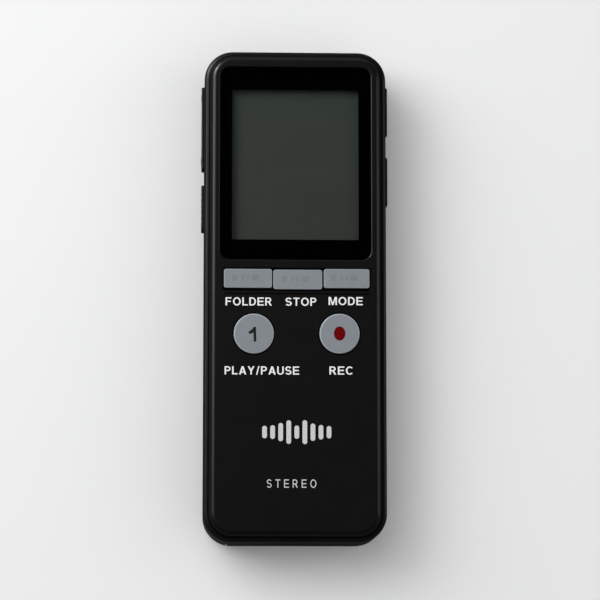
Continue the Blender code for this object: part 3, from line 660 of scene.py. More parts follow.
CASE_PLASTIC = plastic("case_plastic", BLACK, 0.3, wear_and_sheen=0.12)
SIDE_PLASTIC = plastic("side_key_plastic", BLACK, 0.3, grain=0.1, depth=0.002, wear_and_sheen=0.1)
FILM = plastic("printed_border", (0.0004, 0.0004, 0.0004), 0.5, grain=0.3, depth=0.001, specular=0.0)
LENS = lens_material()
KEY_PAINT = paint("key_paint", KEY_GREY, 0.42)
RED = plastic("record_red", (0.117, 0.0, 0.0), 0.5, grain=0.3, depth=0.002, specular=0.06)
WHITE_INK = ink("white_ink", (0.80, 0.80, 0.80))
GREY_INK = ink("grey_ink", (0.56, 0.56, 0.55))
DARK_INK = ink("dark_ink", (0.004, 0.0042, 0.005))
FAINT_INK = ink("faint_ink", scaled_colour(KEY_GREY, 0.88))
WHITE_PLASTIC = plastic("white_plastic", (0.7, 0.7, 0.67), 0.45, grain=0.3, depth=0.006, mottle=0.05)
CHIP = plastic("moulded_epoxy", (0.02, 0.02, 0.021), 0.55, grain=0.12, depth=0.012, mottle=0.2)
RUBBER = plastic("black_rubber", (0.018, 0.018, 0.018), 0.75, grain=0.25, depth=0.02, mottle=0.25)
STEEL = metal("plated_steel", (0.56, 0.56, 0.57), 0.3)
SCREW_STEEL = metal("blackened_steel", (0.08, 0.08, 0.085), 0.34)
BOARD = board_material()

# ---------------- case
def row_opening():
    """Edges of the one opening that the three upper keys share: x0, x1, y0, y1."""
    lows, highs = zip(*(extent(f"key_{name}") for name in ROW_KEYS))
    trim = KEY_FLANGE_OUT - KEY_CLEAR
    return (
        min(corner.x for corner in lows) - KEY_CLEAR,
        max(corner.x for corner in highs) + KEY_CLEAR,
        min(corner.y for corner in lows) + trim,
        max(corner.y for corner in highs) - trim,
    )


def round_key_place(name):
    """Centre x, centre y and radius of a round key's cap."""
    low, high = extent(f"key_{name}")
    centre = (low + high) / 2
    return centre.x, centre.y, (high.x - low.x) / 2 - KEY_FLANGE_OUT - ROUND_TRIM


def front_shell():
    """The front cover: a thin skirt and face, with the window's pocket and the keys' openings."""
    inner = FACE_INSET + SKIRT
    side = FACE_INSET
    levels = [(inner, CEILING), (inner, SKIRT_BOTTOM), (side, SKIRT_BOTTOM), (side, RIM_TOP - 0.3)]
    flare, rise = COVE
    for n in range(COVE_STEPS + 1):
        share = n / COVE_STEPS
        levels.append((side - flare * (1 - share) ** 2, RIM_TOP - 0.1 + rise * share))
    levels += [(side + out, FACE - SHOULDER + up) for out, up in arc(SHOULDER, 12)]
    shell = loft("front_shell", [case_ring(inset, z) for inset, z in levels])

    low, high = extent("display_window")
    bounds = (low.x - WINDOW_CLEAR, high.x + WINDOW_CLEAR, low.y - WINDOW_CLEAR, high.y + WINDOW_CLEAR)
    window = pocket("window_pocket", bounds, WINDOW_CORNER, FACE, WINDOW_FLOOR, LIP, steps=16)
    low, high = extent("lcd_panel")
    sight = box("window_sight", (low.x + 0.8, low.y + 1.6, CEILING - 1), (high.x - 0.8, high.y - 2.4, FACE))
    half_w = HALF_W - inner
    cavity = box("key_cavity", (-half_w, KEY_CAVITY[0], CEILING - 1), (half_w, KEY_CAVITY[1], KEY_CEILING))
    x0, x1, y0, y1 = row_opening()
    floor = KEY_CEILING - OVERLAP
    row = pocket("row_opening", (x0, x1, y0, y1), 0.5, FACE, floor, KEY_LIP)
    line_y = y0 - KEY_LINE
    bounds = (x0 + 0.3, x1 - 0.3, line_y - KEY_LINE_HALF_W, line_y + KEY_LINE_HALF_W)
    line = pocket("key_line", bounds, 0.12, FACE, FACE - KEY_LINE_DEPTH, 0.03)
    holes = []
    for name in ROUND_KEYS:
        x, y, radius = round_key_place(name)
        opening = radius + KEY_CLEAR
        holes.append(hole(f"{name}_opening", x, y, opening, FACE, floor, KEY_LIP, steps=FINE_STEPS))
    cut(shell, window, sight, cavity, row, line, *holes)
    finish_piece(shell, CASE_PLASTIC, "recorder", "front_cover")


def side_span(piece, trim_low=0.0, trim_high=0.0):
    """From y, to y of a side key's cap."""
    low, high = extent(piece)
    return low.y + trim_low, high.y - trim_high


def side_bounds(side, y0, y1, half_h):
    """Bounds, in the side's own axes, of something that lies along y at the side keys' height."""
    along = (y0, y1) if side == "right" else (-y1, -y0)
    return (*along, SIDE_Z - half_h, SIDE_Z + half_h)


def side_place(side):
    return at(HALF_W if side == "right" else -HALF_W, 0, 0, side)


def side_slot(name, side, y0, y1):
    """A cutter for a side key's opening in the middle frame."""
    bounds = side_bounds(side, y0, y1, SIDE_HALF_H + SLOT_CLEAR)
    return pocket(name, bounds, SIDE_CORNER + SLOT_CLEAR, 0.0, -WALL - 0.6, SLOT_LIP, side_place(side))


def end_hole(name, x, z, radius, lip, steps=ROUND_STEPS):
    """A cutter for a round opening in the microphone end."""
    return hole(name, -x, z, radius, 0.0, -2.5, lip, at(0, HALF_L, 0, "top_end"), steps)


def frame_shell():
    """The middle frame: a ring with a rounded ridge round the face, and every opening in its sides."""
    bottom = CASE_LOW.z
    foot = [(0.2, bottom), (0.06, bottom + 0.06), (0.0, bottom + 0.2)]
    across, rise = RIDGE
    crest = RIM_TOP - 0.07
    ridge = [(across * out, crest - rise + rise * up) for out, up in arc(1.0, 14, RIDGE_END)]
    ridge += [(RIM_INSET - 0.03, RIM_TOP - 0.02), (RIM_INSET, RIM_TOP - 0.05)]
    ledge_in = FACE_INSET - 0.06
    step_z = SKIRT_BOTTOM - 0.2
    inner = [(RIM_INSET, RIM_LEDGE), (ledge_in, RIM_LEDGE), (ledge_in, step_z)]
    inner += [(WALL, step_z), (WALL, bottom)]
    shell = loft("frame_shell", [case_ring(inset, z) for inset, z in foot + ridge + inner], loop=True)

    low, high = side_span("volume_rocker")
    tools = [side_slot("rocker_slot", "left", low - SLOT_PLAY, high + SLOT_PLAY)]
    low, high = side_span("power_slider", *POWER_FLANGE)
    tools.append(side_slot("power_slot", "left", low - POWER_TRAVEL - SLOT_PLAY, high + SLOT_PLAY))
    for name in ("previous", "next"):
        low, high = side_span(f"key_{name}", SIDE_FLANGE, SIDE_FLANGE)
        tools.append(side_slot(f"{name}_slot", "right", low - SLOT_CLEAR, high + SLOT_CLEAR))
    low, high = extent("usb_port")
    bounds = (low.y - USB_CLEAR, high.y + USB_CLEAR, low.z - USB_CLEAR, high.z + USB_CLEAR)
    tools.append(pocket("usb_opening", bounds, 0.9, 0.0, -3.0, 0.2, side_place("right")))
    for name in JACKS:
        tools.append(end_hole(f"{name}_opening", centre_of(name).x, JACK_Z, JACK_MOUTH, 0.3))
    sound = []
    for name in ("left", "right"):
        centre = centre_of(f"mic_boot_{name}")
        for step in (-1, 0, 1):
            x = centre.x + step * SOUND_PITCH
            sound.append(end_hole(f"sound_{name}_{step}", x, centre.z, SOUND_HOLE, 0.1, HOLE_STEPS))
    tools.append(merged("sound_holes", sound))
    cut(shell, *tools)
    finish_piece(shell, CASE_PLASTIC, "recorder", "middle_frame")


def rear_cup(name):
    """The rear cover before anything is cut out of it; the door is cut from the same shape."""
    inside = [(WALL, FLOOR), (WALL, PARTING)]
    lip = [(0.2, PARTING), (0.06, PARTING - 0.06), (0.0, PARTING - 0.2)]
    edge = [(out, REAR_EDGE - up) for out, up in arc(REAR_EDGE, 16)]
    return loft(name, [case_ring(inset, z) for inset, z in inside + lip + edge])


def grille_places():
    """Hole centres of the speaker grille, in hexagonal rows round the speaker's axis."""
    middle = centre_of("speaker")
    row_step = GRILLE_PITCH * sqrt(3) / 2
    for row in range(-2, 3):
        count = 5 - abs(row)
        for n in range(count):
            yield middle.x + (n - (count - 1) / 2) * GRILLE_PITCH, middle.y + row * row_step


def screw_places():
    for n in (1, 2, 3, 4):
        centre = centre_of(f"case_screw_{n}")
        yield n, centre.x, centre.y


def rear_shell():
    """The rear cover: screw columns and wells, the speaker grille and the battery door's opening."""
    shell = rear_cup("rear_shell")
    rear = at(0, 0, 0, "rear")
    columns, wells, bores = [], [], []
    for n, x, y in screw_places():
        place = at(x, y, 0)
        column = [(SCREW_COLUMN, 0.8), (SCREW_COLUMN, PARTING + 0.9)]
        columns.append(lathe(f"column_{n}", column, place, SMALL_STEPS))
        wells.append(hole(f"counterbore_{n}", x, -y, SCREW_WELL, 0.0, -1.85, 0.15, rear, SMALL_STEPS))
        bore = [(SCREW_BORE, -1), (SCREW_BORE, PARTING + OVERLAP)]
        bores.append(lathe(f"bore_{n}", bore, place, SMALL_STEPS))
    join(shell, merged("screw_columns", columns))
    half_w = DOOR_HALF_W + DOOR_GAP
    bounds = (-half_w, half_w, -DOOR_TOP_Y - DOOR_GAP, HALF_L + OVERLAP)
    opening = pocket("door_opening", bounds, 1.3, 0.0, -FLOOR - 0.1, 0.12, rear)
    half_w = DOOR_END_HALF_W + DOOR_GAP
    end_opening = box(
        "door_end_opening",
        (-half_w, -HALF_L - OVERLAP, -1),
        (half_w, DOOR_END_Y + DOOR_GAP, PARTING + OVERLAP),
    )
    sound = [
        hole(f"grille_{n}", x, -y, GRILLE_HOLE, 0.0, -FLOOR - 1, 0.16, rear, HOLE_STEPS)
        for n, (x, y) in enumerate(grille_places())
    ]
    merged_tools = [merged(name, parts) for name, parts in
                    (("counterbores", wells), ("screw_bores", bores), ("grille_holes", sound))]
    cut(shell, opening, end_opening, *merged_tools)
    finish_piece(shell, CASE_PLASTIC, "recorder", "rear_cover")


def thumb_grooves():
    """Cutters for the short lines that a thumb pushes on, each a little shorter than the last."""
    grooves = []
    for n in range(THUMB_GROOVES):
        half = 5.0 - n * 0.7
        y = 8.0 + n * 1.4
        bounds = (-half, half, y - 0.34, y + 0.34)
        grooves.append(pocket(f"groove_{n}", bounds, 0.33, 0.0, -0.35, 0.14, at(0, 0, 0, "rear"), 6))
    return merged("thumb_grooves", grooves)


def door_panel():
    """The battery door, cut from the rear cover's shape, with its ribs, tongues and latch inside."""
    door = rear_cup("door_panel")
    chamfer = 0.12
    levels = [(chamfer + 0.04, -0.04), (0.0, chamfer), (0.0, PARTING + 1)]
    bounds = (-DOOR_HALF_W, DOOR_HALF_W, -HALF_L - 3, DOOR_TOP_Y)
    region = slab("door_region", bounds, 1.0, levels)
    half_w, top = DOOR_END_HALF_W, PARTING - DOOR_DROP
    join(region, box("door_end", (-half_w, -HALF_L - 2, -2), (half_w, DOOR_END_Y, top)))
    combine(door, "INTERSECT", box("door_low_part", (-half_w, -HALF_L - 4, -2), (half_w, 5, top)))
    combine(door, "INTERSECT", region)
    cut(door, box("door_inside", (-20, -HALF_L + 1.3, DOOR_THICK), (20, 10, 20)))
    cut(door, thumb_grooves())
    rails = []
    for side in (-1, 1):
        for name, x, y, z in (
            ("rib", (11.3, 12.1), (-49.0, -1.5), (0.9, 2.0)),
            ("tongue", (11.4, 13.4), (-48.8, -1.7), (1.5, 2.1)),
        ):
            x0, x1 = sorted(side * edge for edge in x)
            rails.append(box(f"{name}_{side}", (x0, y[0], z[0]), (x1, y[1], z[1])))
    rails.append(box("latch", (-2.0, -3.0, 0.9), (2.0, DOOR_TOP_Y - 0.1, 2.0)))
    rails.append(box("latch_tip", (-1.8, -2.0, 1.5), (1.8, 2.2, 2.1)))
    join(door, *rails)
    finish_piece(door, CASE_PLASTIC, "door", "battery_door")


def screws():
    """Case screws, head down in their wells, with a cross recess."""
    profile = [
        (0.3, -10.4), (0.75, -9.6), (0.75, -1.75), (1.3, -1.75), (1.3, -0.92), (1.24, -0.78), (1.05, -0.68),
        (0.7, -0.6),
    ]
    for n, x, y in screw_places():
        screw = lathe(f"screw_{n}", profile, at(x, y, 0, "rear"), 40)
        for half_x, half_y in ((0.13, 0.72), (0.72, 0.13)):
            cut(screw, box("cross", (x - half_x, y - half_y, 0.3), (x + half_x, y + half_y, 1.15)))
        finish_piece(screw, SCREW_STEEL, "recorder", f"case_screw_{n}")


# ---------------- window and display
def window_lens():
    """The clear window. Its rounded edge gets the flat black border print, painted shade where the clear edge
    would catch the light.
    """
    low, high = extent("display_window")
    levels = [(0.05, low.z), (0.0, low.z + 0.05)]
    levels += [(out, high.z - LENS_EDGE + up) for out, up in arc(LENS_EDGE, 5)]
    lens = slab("window_lens", (low.x, high.x, low.y, high.y), WINDOW_CORNER - 0.1, levels, 16)
    finish_piece(lens, LENS, "recorder", "display_window")
    # Painted shade: the lens's edge faces take the black print, which shows no glint.
    paint_faces(lens, FILM, lambda face: abs(face.normal.z) < 0.999)


def window_border():
    """The black border printed behind the window: a thin sheet with a sharp-edged sight opening."""
    low, high = extent("window_gasket")
    levels = ((0.0, low.z), (0.0, high.z))
    sheet = slab("window_border", (low.x, high.x, low.y, high.y), WINDOW_CORNER - 0.2, levels, 12)
    half_w, half_l = SIGHT_SIZE[0] / 2, SIGHT_SIZE[1] / 2
    centre_y = (low.y + high.y) / 2 - SIGHT_DROP
    cut(sheet, box("sight", (-half_w, centre_y - half_l, low.z - 1), (half_w, centre_y + half_l, high.z + 1)))
    finish_piece(sheet, FILM, "recorder", "window_gasket")


def display():
    """Two panes of display glass. The upper is longer, for the contacts; the lower holds the image."""
    low, high = extent("lcd_panel")
    panes = (
        ("display_upper_glass", LENS, 0.0, 0.0, "lcd_panel"),
        ("display_image_glass", display_material(high.y, low.y), 0.1, PANE_LEDGE, None),
    )
    for (name, look, inset, ledge, stands_for), (z0, z1) in zip(panes, PANE_HEIGHTS):
        levels = ((0.08, z0), (0.0, z0 + 0.06), (0.0, z1 - 0.06), (0.08, z1))
        y0 = low.y + ledge
        x0, x1, y1 = low.x + inset, high.x - inset, high.y - inset
        rings = [
            rounded_ring(x0 + edge, x1 - edge, y0 + edge, y1 - edge, 0.25, z, 4)
            for edge, z in levels
        ]
        finish_piece(loft(name, rings), look, "recorder", stands_for)


# ---------------- front keys
def finish_key(cap, name):
    """A front key is grey above a line just under the face and black below it: painted shade that keeps the gaps
    round the key dark.
    """
    finish_piece(cap, KEY_PAINT, f"{name}_key", f"key_{name}")
    # Painted shade: the key's faces below the line are black, so the gaps round it look dark.
    paint_faces(cap, SIDE_PLASTIC, lambda face: face.center.z / MM < GAP_SHADE_LINE)


def row_key(name):
    low, high = extent(f"key_{name}")
    x0, x1 = low.x, high.x
    y0, y1 = low.y + KEY_FLANGE_OUT, high.y - KEY_FLANGE_OUT
    levels = [(0.0, KEY_FOOT), (0.0, GAP_SHADE_LINE)]
    levels += [(out, high.z - KEY_EDGE + up) for out, up in arc(KEY_EDGE, 6)]
    cap = slab(f"{name}_cap", (x0, x1, y0, y1), KEY_CORNER, levels, 6)
    foot, top = KEY_FLANGE
    flange = box(
        "flange", (x0 + 0.05, y0 - KEY_FLANGE_OUT, foot), (x1 - 0.05, y1 + KEY_FLANGE_OUT, top)
    )
    middle = ((x0 + x1) / 2, (y0 + y1) / 2)
    plunger = lathe("plunger", [(PLUNGER, low.z), (PLUNGER, foot + 0.2)], at(*middle, 0), SMALL_STEPS)
    join(cap, flange, plunger)
    finish_key(cap, name)
    faint_marks(name, middle, high.z)


def faint_marks(name, middle, top):
    """Worn, hardly visible print on a key: a few rounded blots."""
    marks = []
    for shift, width, height in FAINT_MARKS:
        x, y = middle[0] + shift, middle[1] + 0.1
        bounds = (x - width / 2, x + width / 2, y - height / 2, y + height / 2)
        marks.append(slab("blot", bounds, 0.2, ((0.0, top - PRINT_SINK), (0.0, top + FAINT_HEIGHT)), 6))
    finish_piece(
        merged(f"{name}_worn_print", marks), FAINT_INK, f"{name}_key", smooth=False
    )


def round_key(name):
    x, y, radius = round_key_place(name)
    flange = radius + KEY_FLANGE_OUT - ROUND_TRIM
    foot, top = KEY_FLANGE
    levels = [
        (PLUNGER, extent(f"key_{name}")[0].z), (PLUNGER, foot), (flange, foot), (flange, top), (radius, top),
        (radius, GAP_SHADE_LINE),
    ]
    levels += [(radius - out, KEY_TOP - ROUND_EDGE + up) for out, up in arc(ROUND_EDGE)]
    cap = loft(f"{name}_cap", [round_ring(x, y, r, z, FINE_STEPS) for r, z in levels])
    if name == "record":
        _, half_x, half_y = dot_shape()
        floor = KEY_TOP - DOT_FLOOR - 0.03
        wide, stretch = half_x + DOT_CLEAR, half_y / half_x
        rings = [round_ring(x, y, wide, z, stretch=stretch) for z in (floor, KEY_TOP + 1)]
        cut(cap, loft("dot_pocket", rings))
    finish_key(cap, name)


def dot_shape():
    """Centre, half width and half height of the record key's dot."""
    low, high = extent("record_dot")
    return (low + high) / 2, (high.x - low.x) / 2, (high.y - low.y) / 2


def record_dot():
    low, high = extent("record_dot")
    centre, half_x, half_y = dot_shape()
    levels = [(0.0, low.z), (0.0, high.z - 0.1), (0.03, high.z - 0.03), (0.1, high.z)]
    rings = [
        round_ring(centre.x, centre.y, half_x - inset, z, stretch=(half_y - inset) / (half_x - inset))
        for inset, z in levels
    ]
    finish_piece(loft("record_oval", rings), RED, "record_key", "record_dot")


def play_numeral():
    """The figure 1 printed on the play key: a tapered stem and a flag."""
    x, y, _ = round_key_place("play")
    x, y = x - 0.3, y - 0.18
    right, left = 0.8, -0.8
    top, bottom = 1.53, -1.53
    outline = [
        (right - 0.06, top), (right, bottom), (right - 0.52, bottom), (right - 0.56, 0.42),
        (right - 0.82, 0.2), (left + 0.12, 0.06), (left, 0.52), (left + 0.62, 0.88), (right - 0.5, top),
    ]
    heights = (KEY_TOP - PRINT_SINK, KEY_TOP + PRINT_HEIGHT)
    rings = [[(x + across, y + along, z) for across, along in outline] for z in heights]
    finish_piece(loft("play_numeral", rings), DARK_INK, "play_key", smooth=False)


# ---------------- side keys
def side_cap(name, side, y0, y1, depth):
    """A side key's bar, with a rounded outer edge. Depth is its inner end, from the case's side."""
    levels = [(0.0, depth)] + [(out, SIDE_REACH - SIDE_EDGE + up) for out, up in arc(SIDE_EDGE)]
    return slab(name, side_bounds(side, y0, y1, SIDE_HALF_H), SIDE_CORNER, levels, 10, side_place(side))


def side_flange(name, side, y0, y1):
    x0, x1 = sorted((HALF_W + depth) * (1 if side == "right" else -1) for depth in SIDE_FLANGE_DEPTHS)
    return box(name, (x0, y0, SIDE_Z - SIDE_FLANGE_HALF_H), (x1, y1, SIDE_Z + SIDE_FLANGE_HALF_H))


def side_mark(name, side, shapes, body):
    """Small raised symbols on a side key. Each shape is an outline of (along y, up z) points."""
    sign = 1 if side == "right" else -1
    heights = (SIDE_REACH - 0.05, SIDE_REACH + 0.06)
    solids = [
        loft("symbol", [[(sign * along, up, z) for along, up in shape] for z in heights], side_place(side))
        for shape in shapes
    ]
    finish_piece(merged(name, solids), SIDE_PLASTIC, body, smooth=False)


def bar(y, z, half_y, half_z):
    corners = ((-1, -1), (1, -1), (1, 1), (-1, 1))
    return [(y + along * half_y, z + up * half_z) for along, up in corners]


def arrow(y, z, size, direction):
    return [(y - direction * size, z - size), (y + direction * size, z), (y - direction * size, z + size)]


def volume_rocker():
    y0, y1 = side_span("volume_rocker")
    rocker = side_cap("volume_bar", "left", y0, y1, ROCKER_DEPTH)
    pin = centre_of("volume_rocker_pin")
    cut(rocker, lathe("pin_bore", [(0.52, 5), (0.52, 15)], at(pin.x, pin.y, 0), SMALL_STEPS))
    finish_piece(rocker, SIDE_PLASTIC, "volume_key", "volume_rocker")
    plus_y, minus_y = y1 - 2.2, y0 + 2.2
    level_bar, upright = (0.7, 0.13), (0.13, 0.28)
    symbols = [
        bar(plus_y, SIDE_Z, *level_bar),
        bar(plus_y, SIDE_Z + 0.42, *upright),
        bar(plus_y, SIDE_Z - 0.42, *upright),
        bar(minus_y, SIDE_Z, *level_bar),
    ]
    side_mark("volume_symbols", "left", symbols, "volume_key")


def power_knob():
    """The sliding power key, with a fork for the switch's lever and grooves for the thumb."""
    y0, y1 = side_span("power_slider", *POWER_FLANGE)
    knob = side_cap("power_knob", "left", y0, y1, SIDE_DEPTH)
    join(knob, side_flange("power_flange", "left", *side_span("power_slider")))
    middle = (y0 + y1) / 2
    cut(knob, box("fork", (-17.6, middle - 1.0, 9.7), (-16.0, middle + 1.0, 11.3)))
    floor, half, pitch = SERRATION
    for n in (-2, -1, 0, 1, 2):
        y = middle + n * pitch
        cut(knob, box("serration", (-HALF_W - 2, y - half, 5), (-HALF_W - floor, y + half, 15)))
    finish_piece(knob, SIDE_PLASTIC, "power_key", "power_slider")


def track_key(name, direction):
    """A right side key with two arrows on it."""
    y0, y1 = side_span(f"key_{name}", SIDE_FLANGE, SIDE_FLANGE)
    cap = side_cap(f"{name}_bar", "right", y0, y1, SIDE_DEPTH)
    join(cap, side_flange("flange", "right", y0 - SIDE_FLANGE, y1 + SIDE_FLANGE))
    finish_piece(cap, SIDE_PLASTIC, f"{name}_key", f"key_{name}")
    y = (y0 + y1) / 2
    shapes = [arrow(y + shift, SIDE_Z, 0.5, direction) for shift in (-0.75, 0.5)]
    side_mark(f"{name}_symbol", "right", shapes, f"{name}_key")


# ---------------- sockets and sound
def jack(name):
    """A 3.5 mm socket: a block with a round barrel that reaches into the end wall."""
    low, high = extent(name)
    place = at((low.x + high.x) / 2, HALF_L, JACK_Z, "top_end")
    body = box(f"{name}_socket", low, (high.x, HALF_L - WALL - 0.2, high.z))
    join(body, lathe("barrel", [(2.2, -3.0), (2.2, -0.25), (2.1, -0.12), (1.98, -0.1)], place))
    cut(body, hole("bore", 0, 0, JACK_BORE, -0.1, low.y + 1 - HALF_L, 0.15, place))
    finish_piece(body, CHIP, "recorder", name)


def usb_port():
    low, high = extent("usb_port")
    side = side_place("right")
    out_face = high.x - HALF_W
    depth = low.x - HALF_W
    levels = ((0.0, depth), (0.0, out_face))
    shell = slab("usb_shell", (low.y, high.y, low.z, high.z), 0.8, levels, place=side)
    wall = 0.3
    inside = (low.y + wall, high.y - wall, low.z + wall, high.z - wall)
    cut(shell, pocket("usb_inside", inside, 0.55, out_face, depth + 0.6, 0.08, side))
    finish_piece(shell, STEEL, "recorder", "usb_port")
    middle = (low.y + high.y) / 2
    rings = [
        rounded_ring(middle - 2.4 + edge, middle + 2.4 - edge, 11.0 + edge, 11.5 - edge, 0.1, z, 3)
        for edge, z in ((0.0, depth + 0.5), (0.0, out_face - 1.2), (0.1, out_face - 1.1))
    ]
    finish_piece(loft("usb_tongue", rings, side), CHIP, "recorder")


def speaker():
    low, high = extent("speaker")
    middle = (low + high) / 2
    radius = (high.x - low.x) / 2
    profile = [
        (0.15, 2.5), (1.6, 2.62), (3.0, 2.85), (3.2, 2.9), (5.6, 2.35), (7.7, 1.95), (7.95, 1.7),
        (8.25, 1.62), (8.6, 1.75), (8.9, 1.5), (radius, 1.5), (radius, 3.2), (8.6, 3.2), (4.6, 3.9),
        (4.6, 5.2), (0.15, 5.2),
    ]
    made = lathe("speaker_driver", profile, at(middle.x, middle.y, 0), 72)
    finish_piece(made, STEEL, "recorder", "speaker")


# ---------------- battery
def cell(name, facing):
    """A cell in its printed jacket, with bare metal ends. Facing is where its positive end points."""
    low, high = extent(f"battery_cell_{name}")
    centre = (low + high) / 2
    length = high.y - low.y
    radius = (high.x - low.x) / 2
    profile = [
        (3.9, 0.0), (4.3, 0.06), (4.55, 0.3), (4.6, 0.42), (radius - 0.18, 0.42), (radius, 0.62),
        (radius, length - 1.55), (radius - 0.2, length - 1.25), (4.5, length - 1.15), (4.3, length - 0.95),
        (2.15, length - 0.9), (1.95, length - 0.8), (1.9, length - 0.15), (1.75, length),
    ]
    if facing == "top_end":
        start, band = low.y, (high.y - CELL_BAND, high.y)
    else:
        start, band = high.y, (low.y, low.y + CELL_BAND)
    made = lathe(f"cell_{name}", profile, at(centre.x, start, centre.z, facing))
    finish_piece(made, jacket_material(*band), "recorder", f"battery_cell_{name}")

    def bare(face):
        reach = face.center / MM - centre
        return hypot(reach.x, reach.z) < radius - 0.35

    paint_faces(made, STEEL, bare)


def coil(name, cell_name, plate_y, direction):
    """A conical spring: it starts on the contact plate and tightens towards the cell."""
    axis = centre_of(f"battery_cell_{cell_name}")
    turns, per_turn, rise = 2.5, 32, 2.15
    count = int(turns * per_turn)
    points = []
    for n in range(count + 1):
        share = n / count
        angle = share * turns * tau
        radius = 3.6 - 1.5 * share
        y = plate_y + direction * rise * share
        points.append((axis.x + radius * cos(angle), y, axis.z + radius * sin(angle)))
    return tube(name, points, 0.24)


def plate(name, piece, y0, y1):
    """An upright contact plate, as wide and as high as its CAD piece."""
    low, high = extent(piece)
    bounds = (low.x, high.x, low.z, high.z)
    return slab(name, bounds, 0.8, ((0.0, -y1), (0.0, -y0)), 6, at(0, 0, 0, "bottom_end"))


def contacts():
    """Two plates with a spring each, and a plain one for the positive end."""
    for name, y0, y1, cell_name, coil_y, direction in (
        ("link", -48.85, -48.6, "right", -48.5, 1),
        ("negative", -1.35, -1.05, "left", -1.45, -1),
    ):
        parts = [plate("plate", f"contact_{name}", y0, y1), coil("coil", cell_name, coil_y, direction)]
        finish_piece(merged(f"{name}_contact", parts), STEEL, "recorder", f"contact_{name}")
    positive = plate("positive_contact", "contact_positive", -1.35, -1.05)
    finish_piece(positive, STEEL, "recorder", "contact_positive")


def tray():
    """The battery compartment: a tray with a rib between the cells."""
    low, high = extent("battery_tray")
    wall, floor = 0.7, 0.55
    levels = ((0.0, 0.8, high.z), (0.0, 0.8, low.z), (wall, 0.4, low.z), (wall, 0.4, high.z - floor))
    rings = [
        rounded_ring(low.x + inset, high.x - inset, low.y + inset, high.y - inset, radius, z, 6)
        for inset, radius, z in levels
    ]
    shell = loft("cell_tray", rings)
    join(shell, box("rib", (-0.35, low.y + 5, high.z - floor - 2.2), (0.35, high.y - 5, high.z - 0.2)))
    finish_piece(shell, CASE_PLASTIC, "recorder", "battery_tray")


# ---------------- printing
def stroke(points, weight):
    """The outline of a pen stroke of even weight along points."""
    left, right = [], []
    for n, point in enumerate(points):
        along = Vector(points[min(n + 1, len(points) - 1)]) - Vector(points[max(n - 1, 0)])
        across = Vector((-along.y, along.x)).normalized() * weight / 2
        left.append(tuple(Vector(point) + across))
        right.append(tuple(Vector(point) - across))
    return left + right[::-1]


def oval(x, y, rx, ry, start=0, end=360, steps=20):
    """Points on an oval from one angle to another. A whole oval's last point is left out."""
    whole = abs(end - start) == 360
    angles = [radians(start + (end - start) * n / steps) for n in range(steps if whole else steps + 1)]
    return [(x + rx * cos(a), y + ry * sin(a)) for a in angles]


